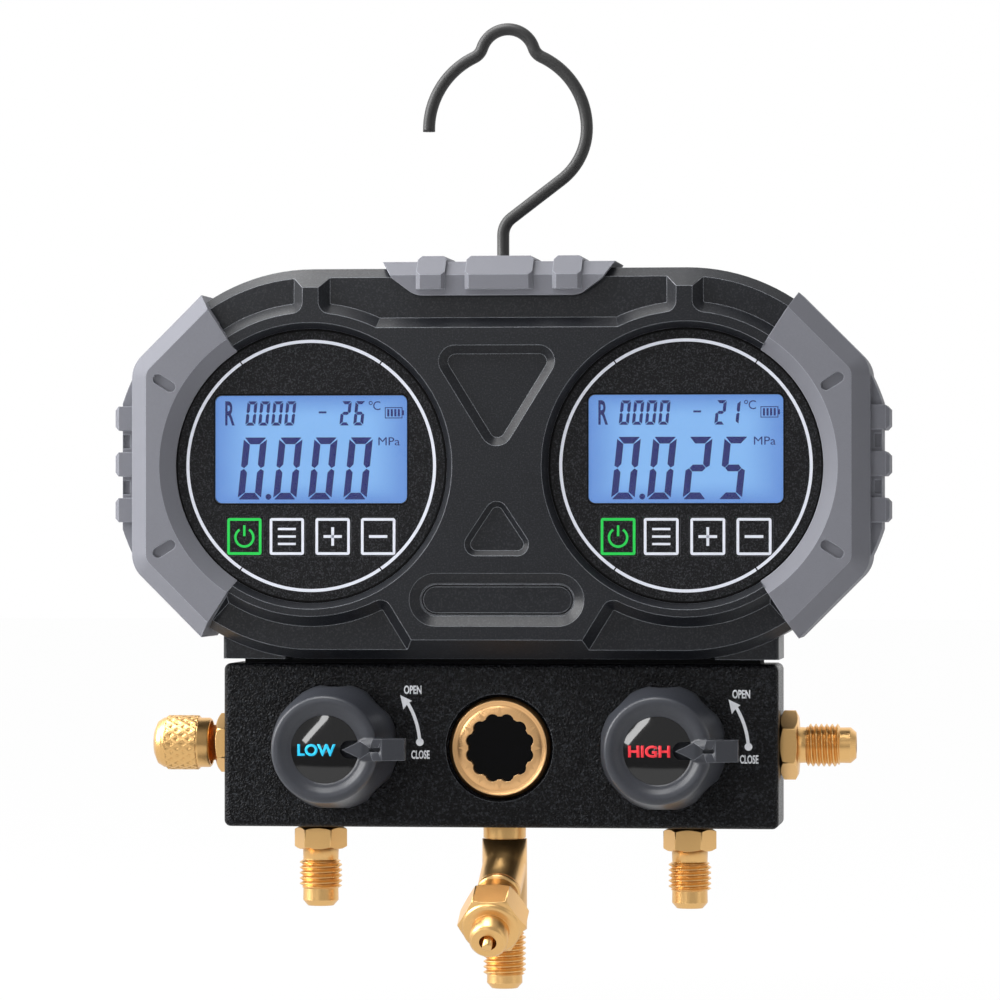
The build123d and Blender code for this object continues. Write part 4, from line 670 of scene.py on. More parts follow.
class Palette:
    """Every finish of the gauge, by what it is or what it is on."""

    housing = Finish("satin_housing", "121419", 0.36, specular=0.34, grain=0.34, depth=0.04,
                     mottle=0.28, edge_lift=0.7, edge_colour="a8acb4", edge_radius=0.26, fleck=0.1)
    bumper = Finish("bumper_elastomer", "6d6e75", 0.62, specular=0.3, grain=0.3, depth=0.025,
                    mottle=0.05, edge_lift=0.4, edge_colour="b9bbc4", edge_radius=0.35)
    film = Finish("pebbled_film", "0a0a0d", 0.42, Texture.PEBBLE, specular=0.2, grain=0.36,
                  depth=0.16, mottle=0.3, edge_lift=0.2, fleck=0.2, fleck_colour="64676d")
    paint = Finish("wrinkle_paint", "040406", 0.3, Texture.WRINKLE, specular=0.14, grain=0.5,
                   depth=0.26, edge_radius=0.4, edge_lift=0.3, edge_colour="8a8f98", fleck=0.17,
                   fleck_colour="5c6067")
    knob = Finish("knob_nylon", "34363c", 0.36, specular=0.4, grain=0.3, depth=0.02,
                  edge_lift=0.55, edge_colour="9a9da5", edge_radius=0.25)
    cap = Finish("gloss_cap", "040405", 0.08, Texture.SMOOTH, specular=0.2, grain=9.0, depth=0.004,
                 rough_spread=0.02, coat=1.0, coat_roughness=0.03, edge_lift=0.05)
    coating = Finish("hook_coating", "060608", 0.13, Texture.SMOOTH, specular=0.45, grain=4.0,
                     depth=0.004, coat=0.4, coat_roughness=0.1, edge_lift=0.1)
    brass = Finish("machined_brass", "ebbd7c", 0.33, Texture.SPARK_GRAIN, metallic=1.0, grain=0.16,
                   depth=0.006, mottle=0.07, edge_colour="ffdca0", edge_radius=0.18, edge_lift=0.5)
    sight_brass = Finish("turned_sight_ring", "efbd84", 0.34, Texture.TURNED, metallic=1.0,
                         grain=0.06, depth=0.004, mottle=0.06, edge_colour="ffdcaa",
                         edge_radius=0.18, centre=(0.0, 0.0, -185.5), grooves=(11.1, 11.8))
    steel = Finish("zinc_steel", "a4a8ad", 0.34, Texture.SPARK_GRAIN, metallic=1.0, grain=0.2,
                   depth=0.006, edge_colour="d8dade")
    spring = Finish("spring_wire", "8d9196", 0.3, Texture.DRAWN, metallic=1.0, grain=0.1,
                    depth=0.004)
    contact = Finish("nickel_contact", "c4c0b6", 0.28, Texture.DRAWN, metallic=1.0, grain=0.12,
                     depth=0.004)
    laminate = Finish("board_laminate", "1d5a37", 0.35, specular=0.5, grain=0.6, depth=0.01,
                      edge_colour="c2b27a", coat=0.4, coat_roughness=0.15)
    battery = Finish("battery_jacket", "3c4046", 0.3, Texture.SMOOTH, specular=0.5, grain=2.0,
                     depth=0.01, coat=0.5)
    rubber = Finish("seal_rubber", "17181a", 0.7, specular=0.25, grain=0.3, depth=0.015,
                    edge_lift=0.2)
    gasket = Finish("base_gasket_rubber", "1b1c1e", 0.75, specular=0.2, grain=0.4, depth=0.02,
                    edge_lift=0.2)
    seat = Finish("ball_seat_plastic", "e6e4dc", 0.4, Texture.SMOOTH, grain=1.0, depth=0.004,
                  edge_colour="f6f4ee")
    sight_dark = Finish("sight_well_glass", "010102", 0.05, Texture.SMOOTH, specular=0.3, grain=8.0,
                        depth=0.001, rough_spread=0.01, edge_lift=0.0)
    # The inks' lit values are a painted glow; the dark bars' lit value stands for backlight shining
    # through them.
    white_ink = Finish("white_ink", "c9ccd6", 0.55, specular=0.25, grain=0.12, depth=0.004,
                       mottle=0.05, edge_radius=0.02, edge_lift=0.0, lit=0.1)
    green_ink = replace(white_ink, name="green_ink", colour="1fb347", roughness=0.5, lit=0.2)
    cyan_ink = replace(green_ink, name="cyan_ink", colour="27b6e0", roughness=0.45, depth=0.003,
                       mottle=0.04)
    red_ink = replace(cyan_ink, name="red_ink", colour="d5303a")
    label_ink = replace(white_ink, name="block_label_ink", colour="c9cbd0", roughness=0.6,
                        texture=Texture.WRINKLE, specular=0.2, grain=0.6, depth=0.05, mottle=0.1,
                        lit=0.08)
    segment = replace(white_ink, name="dark_segment", colour="0a1560", roughness=0.5,
                      texture=Texture.SMOOTH, specular=0.1, grain=0.8, depth=0.001, mottle=0.15,
                      lit=0.55)
    # Black for the printed line round the window, and for the ring at the film's rim, which is
    # painted shadow where the film meets the housing.
    joint_black = Finish("joint_black", "030304", 0.6, specular=0.1, grain=0.3, depth=0.01,
                         edge_radius=0.02, edge_lift=0.0)
    window = ClearWindow()
    panel = BacklitPanel()


# ---- Repeating shapes ---------------------------------------------------------------


class NodeTool:
    """A geometry tree with named inputs, whose result is kept as a plain mesh."""

    def __init__(self, name: str, sizes: Dict[str, Tuple[str, object]]) -> None:
        """Starts the tree.

        Args:
            name: The tree's name.
            sizes: Each input's socket type and value, by its name.
        """
        self.tree = bpy.data.node_groups.new(name, "GeometryNodeTree")
        self.sketch = Sketch(self.tree)
        self.sizes = sizes
        face = self.tree.interface
        face.new_socket("Geometry", in_out="INPUT", socket_type="NodeSocketGeometry")
        face.new_socket("Geometry", in_out="OUTPUT", socket_type="NodeSocketGeometry")
        for label, (kind, _) in sizes.items():
            face.new_socket(label, in_out="INPUT", socket_type=kind)
        face.new_socket("Material", in_out="INPUT", socket_type="NodeSocketMaterial")
        self.start = self.tree.nodes.new("NodeGroupInput")

    def size(self, label: str) -> Socket:
        """Returns the socket of a named input."""
        return self.start.outputs[label]

    def finish(self, shape: Socket) -> None:
        """Ends the tree in Realize Instances and Set Material.

        Args:
            shape: The tree's result.
        """
        s = self.sketch
        dressed = s.feed(s.add("GeometryNodeSetMaterial"), Material=self.size("Material"),
                         Geometry=s.run("GeometryNodeRealizeInstances", shape))
        s.set(s.add("NodeGroupOutput").inputs[0], dressed.outputs[0])

    def mesh(self, name: str, material: bpy.types.Material, start: Optional[bpy.types.Mesh] = None
             ) -> bpy.types.Mesh:
        """Runs the tree and keeps its result as a plain mesh.

        Args:
            name: The new mesh's name.
            material: The finish the tree sets.
            start: Points or faces that the tree starts from, if it needs them.

        Returns:
            The mesh, in the tree's own place.
        """
        carrier = bpy.data.objects.new(name, start or bpy.data.meshes.new(name))
        bpy.context.scene.collection.objects.link(carrier)
        modifier = carrier.modifiers.new(name, "NODES")
        modifier.node_group = self.tree
        for item in self.tree.interface.items_tree:
            if item.item_type != "SOCKET" or item.in_out != "INPUT":
                continue
            if item.name in self.sizes:
                modifier[item.identifier] = self.sizes[item.name][1]
            if item.name == "Material":
                modifier[item.identifier] = material
        carrier.update_tag()
        graph = bpy.context.evaluated_depsgraph_get()
        graph.update()
        made = bpy.data.meshes.new_from_object(carrier.evaluated_get(graph))
        bpy.data.objects.remove(carrier)
        return made


@dataclass
class ScrewThread:
    """A rolled thread along local Z, built turn by turn. Sizes in millimetres."""

    major: float = 5.55
    depth: float = 0.85
    pitch: float = 1.4
    length: float = 7.4
    lead: float = 0.5
    bore: float = 4.2
    across: int = 13
    around: int = 73

    def mesh(self, name: str, material: bpy.types.Material) -> bpy.types.Mesh:
        """Builds the thread.

        Args:
            name: The mesh's name.
            material: Its finish.

        Returns:
            The thread from height zero to its length, closed at both ends.
        """
        turns = int(math.ceil(self.length / self.pitch)) + 3
        tool = NodeTool("screw_thread_turns", {
            "Major Radius": ("NodeSocketFloat", self.major * MM),
            "Depth": ("NodeSocketFloat", self.depth * MM),
            "Pitch": ("NodeSocketFloat", self.pitch * MM),
            "Length": ("NodeSocketFloat", self.length * MM),
            "Lead": ("NodeSocketFloat", self.lead * MM),
            "Turns": ("NodeSocketInt", turns),
        })
        s = tool.sketch
        grid = s.add("GeometryNodeMeshGrid")
        s.feed(grid, Size_X=1.0, Size_Y=1.0, Vertices_X=self.across, Vertices_Y=self.around)
        run, turn = (s.sum("ADD", way, 0.5) for way in s.split(s.point_place())[:2])
        flank = s.sum("ABSOLUTE", s.sum("MULTIPLY_ADD", run, 2.0, -1.0))
        crest = s.sum("MULTIPLY_ADD", s.sum("SUBTRACT", 1.0, flank), 1.35, -0.12, clamp=True)
        low = s.sum("SUBTRACT", tool.size("Major Radius"), tool.size("Depth"))
        radius = s.sum("ADD", low, s.sum("MULTIPLY", crest, tool.size("Depth")))
        height = s.sum("MULTIPLY", s.sum("ADD", run, turn), tool.size("Pitch"))
        bent = s.polar(radius, s.sum("MULTIPLY", turn, 2 * math.pi), height)
        one = s.moved(grid.outputs["Mesh"], bent)
        rise = s.run("ShaderNodeCombineXYZ", 0.0, 0.0, tool.size("Pitch"))
        below = s.vector("SCALE", rise)
        below.node.inputs["Scale"].default_value = -2.0
        line = s.add("GeometryNodeMeshLine", mode="OFFSET")
        s.feed(line, Count=tool.size("Turns"), Start_Location=below, Offset=rise)
        tool.finish(self.trim(tool, s.copies(line.outputs[0], one), low))
        made = tool.mesh(name, material)
        close_tube(made, self.bore)
        return made

    def trim(self, tool: NodeTool, shape: Socket, low: Socket) -> Socket:
        """Cuts the ends square and tapers the first and last turn.

        Args:
            tool: The tree the nodes go in.
            shape: The stacked turns.
            low: The thread's root radius.

        Returns:
            The trimmed thread.
        """
        s = tool.sketch
        x, y, z = s.split(s.point_place())
        up = s.sum("MINIMUM", s.sum("MAXIMUM", z, 0.0), tool.size("Length"))
        radius = s.radius(x, y)
        near = s.sum("MINIMUM", up, s.sum("SUBTRACT", tool.size("Length"), up))
        share = s.sum("DIVIDE", near, tool.size("Lead"), clamp=True)
        limit = s.sum("ADD", low, s.sum("MULTIPLY", share, tool.size("Depth")))
        wanted = s.sum("DIVIDE", s.sum("MINIMUM", radius, limit), radius)
        placed = s.run("ShaderNodeCombineXYZ", s.sum("MULTIPLY", x, wanted),
                       s.sum("MULTIPLY", y, wanted), up)
        return s.welded(s.moved(shape, placed), 0.004)


@dataclass
class CrossedKnurl:
    """Crossed knurling round local Z: ridges that leave diamond pits. Sizes in millimetres."""

    radius: float = 7.15
    depth: float = 0.5
    length: float = 8.0
    around: int = 19
    rows: int = 5
    ridge: float = 0.3
    bore: float = 6.0

    def pit(self) -> bpy.types.Mesh:
        """Builds one pit of the flat pattern.

        Returns:
            Its faces, from the ridges' corners down to its floor.
        """
        across = math.pi * self.radius / self.around
        along = self.length / self.rows
        rings = ((1.0, 0.0), (1.0 - self.ridge, 0.0), (0.28, -self.depth))
        mesh = bpy.data.meshes.new("knurl_pit")
        points = []
        for share, height in rings:
            for x, y in ((along, 0.0), (0.0, across), (-along, 0.0), (0.0, -across)):
                points.append((x * share * MM, y * share * MM, height * MM))
        faces = [(8, 9, 10, 11)]
        for ring in (0, 4):
            for step in range(4):
                after = (step + 1) % 4
                faces.append((ring + step, ring + after, ring + 4 + after, ring + 4 + step))
        mesh.from_pydata(points, [], faces)
        return mesh

    def mesh(self, name: str, material: bpy.types.Material) -> bpy.types.Mesh:
        """Lays the pits out flat, then rolls them round the barrel.

        Args:
            name: The mesh's name.
            material: Their finish.

        Returns:
            The knurled sleeve from height zero to the length, closed at both ends.
        """
        tool = NodeTool("crossed_knurl", {
            "Radius": ("NodeSocketFloat", self.radius * MM),
            "Root Radius": ("NodeSocketFloat", (self.radius - self.depth) * MM),
            "Length": ("NodeSocketFloat", self.length * MM),
            "Around": ("NodeSocketInt", self.around),
            "Rows": ("NodeSocketInt", self.rows + 1),
        })
        s = tool.sketch
        girth = s.sum("MULTIPLY", tool.size("Radius"), 2 * math.pi)
        pitch = s.sum("DIVIDE", girth, tool.size("Around"))
        row_step = s.sum("DIVIDE", tool.size("Length"), s.sum("SUBTRACT", tool.size("Rows"), 1.0))
        grid = s.add("GeometryNodeMeshGrid")
        s.feed(grid, Vertices_X=tool.size("Rows"), Vertices_Y=tool.size("Around"))
        number = s.add("GeometryNodeInputIndex").outputs[0]
        row = s.sum("FLOOR", s.sum("DIVIDE", number, tool.size("Around")))
        column = s.sum("SUBTRACT", number, s.sum("MULTIPLY", row, tool.size("Around")))
        shift = s.sum("MULTIPLY", s.sum("MODULO", row, 2.0), 0.5)
        spot = s.run("ShaderNodeCombineXYZ", s.sum("MULTIPLY", row, row_step),
                     s.sum("MULTIPLY", s.sum("ADD", column, shift), pitch))
        flat = s.copies(s.moved(grid.outputs["Mesh"], spot), tool.size("Geometry"))
        x, y, z = s.split(s.point_place())
        height = s.sum("MINIMUM", s.sum("MAXIMUM", x, 0.0), tool.size("Length"))
        over = s.sum("ABSOLUTE", s.sum("SUBTRACT", x, height))
        beyond = s.sum("GREATER_THAN", over, 0.01 * MM)
        crest = s.sum("ADD", tool.size("Radius"), z)
        fall = s.sum("MULTIPLY", beyond, s.sum("SUBTRACT", crest, tool.size("Root Radius")))
        angle = s.sum("DIVIDE", y, tool.size("Radius"))
        rolled = s.polar(s.sum("SUBTRACT", crest, fall), angle, height)
        tool.finish(s.welded(s.moved(flat, rolled), 0.01))
        made = tool.mesh(name, material, self.pit())
        close_tube(made, self.bore, sharp=30.0)
        return made


@dataclass
class PrintedStroke:
    """A flat printed line that follows an open or closed path. Sizes in millimetres."""

    points: Sequence[Point]
    width: float
    closed: bool = False
    thickness: float = 0.03

    def mesh(self, name: str, material: bpy.types.Material) -> bpy.types.Mesh:
        """Sweeps the line's flat section along the path.

        Args:
            name: The mesh's name.
            material: Its ink.

        Returns:
            The line in the local XY plane.
        """
        tool = NodeTool("printed_stroke", {
            "Line Width": ("NodeSocketFloat", self.width * MM),
            "Ink Thickness": ("NodeSocketFloat", self.thickness * MM),
        })
        s = tool.sketch
        path = s.feed(s.add("GeometryNodeMeshToCurve"), Mesh=tool.size("Geometry"))
        section = s.add("GeometryNodeCurvePrimitiveQuadrilateral")
        s.feed(section, Width=tool.size("Line Width"), Height=tool.size("Ink Thickness"))
        swept = s.add("GeometryNodeCurveToMesh")
        s.feed(swept, Curve=path.outputs[0], Profile_Curve=section.outputs[0], Fill_Caps=True)
        tool.finish(swept.outputs[0])
        wire = bpy.data.meshes.new(name + "_path")
        count = len(self.points)
        edges = [(i, (i + 1) % count) for i in range(count if self.closed else count - 1)]
        wire.from_pydata([(x * MM, y * MM, 0.0) for x, y in self.points], edges, [])
        made = tool.mesh(name, material, wire)
        closed_outwards(made, sharp=40.0)
        return made


def arc(radius: float, start: float, end: float, steps: int = 48,
        at: Point = (0.0, 0.0)) -> List[Point]:
    """Lays points along an arc.

    Args:
        radius: The arc's radius.
        start: Its first angle in degrees, anticlockwise from the right.
        end: Its last angle.
        steps: How many runs it has.
        at: Its centre.

    Returns:
        The points in order.
    """
    angles = [math.radians(start + (end - start) * i / steps) for i in range(steps + 1)]
    return [(at[0] + radius * math.cos(a), at[1] + radius * math.sin(a)) for a in angles]


def rounded_box(width: float, height: float, corner: float, steps: int = 6) -> List[Point]:
    """Lays points round a rectangle with round corners, centred on zero.

    Args:
        width: Its width.
        height: Its height.
        corner: Its corners' radius.
        steps: How many runs each corner has.

    Returns:
        The points in order.
    """
    x, y = width / 2 - corner, height / 2 - corner
    points: List[Point] = []
    for centre, start in (((x, y), 0), ((-x, y), 90), ((-x, -y), 180), ((x, -y), 270)):
        points += arc(corner, start, start + 90, steps, centre)
    return points


def word_mesh(words: str, height: float, width: float, weight: float, thickness: float = 0.03,
              at: Point = (0.0, 0.0)) -> bpy.types.Mesh:
    """Sets a word as a thin printed mesh, fitted to a width and a height.

    Args:
        words: The letters.
        height: Height of the capitals in millimetres.
        width: The word's whole width in millimetres.
        weight: How far the strokes are fattened, in text units.
        thickness: The ink's thickness in millimetres.
        at: Where its middle goes.

    Returns:
        The mesh in the local XY plane.
    """
    letters = bpy.data.curves.new("letters", "FONT")
    letters.body = words
    letters.offset = weight
    letters.resolution_u = 4
    carrier = bpy.data.objects.new("letters", letters)
    bpy.context.scene.collection.objects.link(carrier)
    graph = bpy.context.evaluated_depsgraph_get()
    mesh = bpy.data.meshes.new_from_object(carrier.evaluated_get(graph))
    bpy.data.objects.remove(carrier)
    low = Vector([min(v.co[i] for v in mesh.vertices) for i in range(3)])
    high = Vector([max(v.co[i] for v in mesh.vertices) for i in range(3)])
    size = high - low
    fit = Matrix.Diagonal((width * MM / size.x, height * MM / size.y, 1.0, 1.0))
    mesh.transform(fit @ Matrix.Translation(-(low + high) / 2))
    with editing(mesh) as work:
        bmesh.ops.remove_doubles(work, verts=work.verts, dist=WELD / 10)
        bmesh.ops.recalc_face_normals(work, faces=work.faces)
        for face in work.faces:
            if face.normal.z < 0:
                face.normal_flip()
        grown = bmesh.ops.extrude_face_region(work, geom=list(work.faces))["geom"]
        raised = [item for item in grown if isinstance(item, bmesh.types.BMVert)]
        bmesh.ops.translate(work, verts=raised, vec=(0, 0, thickness * MM))
        bmesh.ops.recalc_face_normals(work, faces=work.faces)
    mesh.transform(Matrix.Translation((at[0] * MM, at[1] * MM, 0)))
    return mesh


# ---- Sub-assemblies -----------------------------------------------------------------


class Side(Enum):
    """The gauge's two halves, with the name that each half's valve goes by."""

    LEFT = ("left", "low")
    RIGHT = ("right", "high")

    @property
    def head(self) -> str:
        """Name of this half in the gauge head."""
        return self.value[0]

    @property
    def valve(self) -> str:
        """Name of this half in the manifold."""
        return self.value[1]


@dataclass
class Assembly:
    """Base of every sub-assembly: it keeps the frame and the pieces made."""

    nodes: Dict[str, bpy.types.Object]
    pieces: List[bpy.types.Object] = field(default_factory=list)

    def dress(self, finish: Surface, *names: str) -> None:
        """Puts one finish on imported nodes.

        Args:
            finish: The finish.
            *names: The nodes' names.
        """
        material = finish.material()
        for name in names:
            mesh = self.nodes[name].data
            mesh.materials.clear()
            mesh.materials.append(material)

    def smooth(self, finish: Finish, node: str, body: str, slot: str, sharp: float = 35.0,
               reshape: Optional[Callable[[bpy.types.Mesh], None]] = None) -> bpy.types.Object:
        """Stands a welded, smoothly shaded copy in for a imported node.

        Args:
            finish: The finish.
            node: The node's name.
            body: The body it rides on.
            slot: The record's material slot.
            sharp: Edges over this angle stay sharp, in degrees.
            reshape: Called with the welded copy, to change it before it is shaded.

        Returns:
            The new piece.
        """
        mesh = self.nodes[node].data.copy()
        with editing(mesh) as work:
            bmesh.ops.remove_doubles(work, verts=work.verts, dist=WELD)
        if reshape:
            reshape(mesh)
        shade(mesh, sharp)
        return self.keep(f"{node}_finished", mesh, finish, body, slot, [node])

    def keep(self, name: str, mesh: bpy.types.Mesh, finish: Surface, body: str, slot: str,
             replaces: Sequence[str] = ()) -> bpy.types.Object:
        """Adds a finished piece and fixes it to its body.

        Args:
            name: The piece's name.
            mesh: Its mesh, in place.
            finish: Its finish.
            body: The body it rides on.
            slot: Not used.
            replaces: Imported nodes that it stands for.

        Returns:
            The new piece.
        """
        piece = object_from(name, mesh, finish.material())
        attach(piece, body)
        if replaces:
            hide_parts(*replaces)
        self.pieces.append(piece)
        return piece

    def print_on(self, name: str, parts: Iterable[Union[bpy.types.Mesh, PrintedStroke]],
                 ink: Finish, place: Vector, body: str, slot: str) -> None:
        """Prints flat parts as one piece that faces the front.

        Args:
            name: The piece's name.
            parts: Meshes and strokes in the local XY plane.
            ink: Their finish.
            place: Where the drawing's zero goes.
            body: The body it rides on.
            slot: The record's material slot.
        """
        mesh = bpy.data.meshes.new(name)
        with editing(mesh) as work:
            for part in parts:
                stroke = isinstance(part, PrintedStroke)
                work.from_mesh(part.mesh(name, ink.material()) if stroke else part)
        mesh.transform(facing_front(place))
        self.keep(name, mesh, ink, body, slot)


@dataclass
class GaugeHead(Assembly):
    """The two-shell housing with its rubber bumpers and its inside parts."""

    def build(self) -> None:
        """Dresses the head's solids."""
        self.dress(Palette.housing, "front_shell", "rear_shell", "battery_cover")
        self.dress(Palette.bumper, "left_bumper", "right_bumper", "top_bumper")
        self.dress(Palette.steel, "housing_screws", "board_screws", "block_screws", "hook_bush")
        self.dress(Palette.laminate, "left_circuit_board", "right_circuit_board")
        self.dress(Palette.battery, "batteries")
        self.dress(Palette.contact, "battery_contacts")
        self.dress(Palette.gasket, "base_gasket")
        self.dress(Palette.steel, "low_pressure_sensor", "high_pressure_sensor")
        self.smooth(Palette.coating, "hook", "hanging_hook", "hook_coating", sharp=60.0)


@dataclass
class Digits:
    """Slanted seven-bar characters, as a liquid crystal shows them. Sizes in millimetres."""

    width: float
    height: float
    stroke: float
    gap: float
    slant: float = math.tan(math.radians(6))

    LIT = {
        "0": "abcdef", "1": "bc", "2": "abged", "3": "abgcd", "4": "fgbc", "5": "afgcd",
        "6": "afgedc", "7": "abc", "8": "abcdefg", "9": "abcdfg", "-": "g",
    }

    def bars(self) -> Dict[str, List[Point]]:
        """Draws one character's bars, before the slant.

        Returns:
            Each bar's outline from the lower left corner, by its letter.
        """
        w, h, t, g = self.width, self.height, self.stroke, self.gap
        m = h / 2
        c = 0.25 * t
        upper = [(0, h - c - g), (t - g * 0.6, h - t - g), (t, h - t - 1.6 * g),
                 (t, m + t * 0.55 + g), (t / 2, m + g), (0, m + g + t * 0.3)]
        top = [(g + c * 0.6, h - c * 0.25), (c + g, h), (w - c - g, h),
               (w - g - c * 0.6, h - c * 0.25), (w - t - g * 0.4, h - t), (t + g * 0.4, h - t)]
        middle = [(g + t * 0.5, m), (t, m + t / 2), (w - t, m + t / 2), (w - g - t * 0.5, m),
                  (w - t, m - t / 2), (t, m - t / 2)]
        flip = lambda points: [(x, h - y) for x, y in reversed(points)]
        swap = lambda points: [(w - x, y) for x, y in reversed(points)]
        return {
            "f": upper, "b": swap(upper), "e": flip(upper), "c": swap(flip(upper)),
            "a": top, "d": flip(top), "g": middle,
        }

    def outlines(self, characters: str, starts: Sequence[float], low: float) -> List[List[Point]]:
        """Lays out lit bars.

        Args:
            characters: The characters, one for each start.
            starts: Left edge of each character at its foot.
            low: Height of their foot.

        Returns:
            The outlines of the lit bars.
        """
        found = []
        bars = self.bars()
        for character, start in zip(characters, starts):
            for name in self.LIT.get(character, ""):
                found.append([(start + x + y * self.slant, low + y) for x, y in bars[name]])
        return found


@dataclass
class DisplayFace(Assembly):
    """One digital display: film, ring, lit panel, window, figures and keys.

    Sizes are in millimetres from the display's centre.
    """

    side: Side = Side.LEFT
    reading: str = "0000"
    degrees: str = "26"
    ring_radius: float = 32.3
    ring_width: float = 0.8
    tick_gap: float = 0.35
    tick_angle: float = 55.6
    window_rise: float = 4.3
    window_size: Point = (50.3, 28.2)
    window_corner: float = 1.7
    key_frame: Point = (8.3, 8.85)
    line: float = 0.7
    ink: float = 0.03
    border: float = 0.3
    rim_width: float = 0.6
    window_share: float = 0.6
    figure_ink: float = 0.02
    panel_gap: float = 0.05
    reading_starts: Tuple[float, ...] = (-19.4, -10.1, -0.9, 8.3)
    reading_foot: float = -8.7
    row_starts: Tuple[float, ...] = (-17.4, -14.0, -10.6, -7.2)
    degree_starts: Tuple[float, ...] = (7.3, 10.9)
    row_foot: float = 10.5

    def build(self) -> None:
        """Builds and dresses the display."""
        head = self.side.head
        place = front_of(f"{head}_faceplate")
        self.dress(Palette.film, f"{head}_faceplate")
        self.dress(Palette.panel, f"{head}_lcd_panel")
        self.print_ring(place)
        self.print_borders(place)
        self.glaze()
        self.show_figures(place)
        for name, draw in self.icons().items():
            self.print_key(name, draw)

    def print_ring(self, place: Vector) -> None:
        """Prints the broken white ring.

        Args:
            place: The display's centre on the film.
        """
        tick = self.tick_angle
        edges = (tick, 180 - tick, 180 + tick, 360 - tick)
        half = math.degrees(self.tick_gap / 2 / self.ring_radius)
        strokes = []
        for start, end in zip(edges, edges[1:] + (edges[0] + 360,)):
            path = arc(self.ring_radius, start + half, end - half, steps=64)
            strokes.append(PrintedStroke(path, self.ring_width, thickness=self.ink))
        self.print_on(f"{self.side.head}_printed_ring", strokes, Palette.white_ink, place, "gauge",
                      "faceplate_film")

    def print_borders(self, place: Vector) -> None:
        """Prints the thin black line round the window, and a black ring at the film's rim that is a
        joint line and painted shadow where the film meets the housing.

        Args:
            place: The display's centre on the film.
        """
        width, height = self.window_size
        border = rounded_box(width + self.border, height + self.border, self.window_corner)
        border = [(x, y + self.window_rise) for x, y in border]
        # The rim ring is a joint line and painted shadow where the film meets the housing.
        low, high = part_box(f"{self.side.head}_faceplate")
        rim = (high.x - low.x) / MM / 2 - self.rim_width / 2
        strokes = [PrintedStroke(border, self.border, True, self.ink),
                   PrintedStroke(arc(rim, 0, 360, 120)[:-1], self.rim_width, True, self.ink)]
        self.print_on(f"{self.side.head}_film_border_and_rim_shadow", strokes, Palette.joint_black, place,
                      "gauge", "faceplate_film")

    def glaze(self) -> None:
        """Puts the clear window in, clear of the panel behind it."""
        head = self.side.head
        low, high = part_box(f"{head}_lcd_lens")
        depth = (high.y - low.y) * self.window_share
        outline = rounded_box((high.x - low.x) / MM, (high.z - low.z) / MM, self.window_corner)
        mesh = plate_mesh("window", [outline], depth / MM)
        mesh.transform(facing_front(front_of(f"{head}_lcd_lens") + Vector((0.0, depth, 0.0))))
        self.keep(f"{head}_window", mesh, Palette.window, "gauge", "lens_clear",
                  [f"{head}_lcd_lens"])

    def show_figures(self, place: Vector) -> None:
        """Draws the reading, the small row, the units and the battery sign.

        Args:
            place: The display's centre on the film.
        """
        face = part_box(f"{self.side.head}_lcd_panel")[0].y - self.panel_gap * MM
        big = Digits(width=6.1, height=16.1, stroke=1.74, gap=0.09)
        outlines = big.outlines(self.reading, self.reading_starts, self.reading_foot)
        outlines.append(arc(0.76, 0, 360, 20, (-11.3, -8.0))[:-1])
        small = Digits(width=2.6, height=6.3, stroke=0.8, gap=0.06)
        outlines += small.outlines("0000", self.row_starts, self.row_foot)
        outlines += small.outlines(self.degrees, self.degree_starts, self.row_foot)
        outlines.append([(1.9, 13.65), (3.9, 13.65), (3.9, 14.15), (1.9, 14.15)])
        outlines += self.battery_sign()
        parts: List[Union[bpy.types.Mesh, PrintedStroke]] = [
            plate_mesh("figures", outlines, self.figure_ink),
            word_mesh("MPa", 2.1, 5.6, 0.0, self.figure_ink, (20.3, 6.35)),
            word_mesh("R", 6.3, 2.5, 0.02, self.figure_ink, (-21.4, 13.7)),
            word_mesh("C", 2.3, 1.9, 0.0, self.figure_ink, (17.1, 15.6)),
            PrintedStroke(arc(0.42, 0, 360, 16, (15.5, 16.3))[:-1], 0.22, True, self.figure_ink),
        ]
        self.print_on(f"{self.side.head}_figures", parts, Palette.segment,
                      Vector((place.x, face, place.z)), "gauge", "lcd_glass")

    def battery_sign(self) -> List[List[Point]]:
        """Draws the small battery sign, four bars in a thin case.

        Returns:
            Its outlines.
        """
        left, right, low, high, line = 19.2, 23.8, 12.3, 15.2, 0.22
        sign = [
            [(left, low), (right, low), (right, low + line), (left, low + line)],
            [(left, high - line), (right, high - line), (right, high), (left, high)],
            [(left, low), (left + line, low), (left + line, high), (left, high)],
            [(right - line, low), (right, low), (right, high), (right - line, high)],
            [(right, 13.1), (right + 0.4, 13.1), (right + 0.4, 14.4), (right, 14.4)],
        ]
        for step in range(4):
            x = left + 0.62 + 0.92 * step
            sign.append([(x, low + 0.5), (x + 0.55, low + 0.5), (x + 0.55, high - 0.5),
                         (x, high - 0.5)])
        return sign

    def icons(self) -> Dict[str, List[PrintedStroke]]:
        """Draws the keys' signs.

        Returns:
            The strokes of each key's sign, by the key's name.
        """
        bar = lambda y: PrintedStroke([(-2.35, y), (2.35, y)], 0.6)
        return {
            "power": [PrintedStroke(arc(2.35, 122, 418, 40, (0, -0.25)), 0.62),
                      PrintedStroke([(0, 0.1), (0, 2.9)], 0.62)],
            "menu": [bar(1.93), bar(0.0), bar(-1.93)],
            "plus": [PrintedStroke([(-2.4, 0), (2.4, 0)], 0.72),
                     PrintedStroke([(0, -2.4), (0, 2.4)], 0.72)],
            "minus": [PrintedStroke([(-2.4, 0), (2.4, 0)], 0.72)],
        }

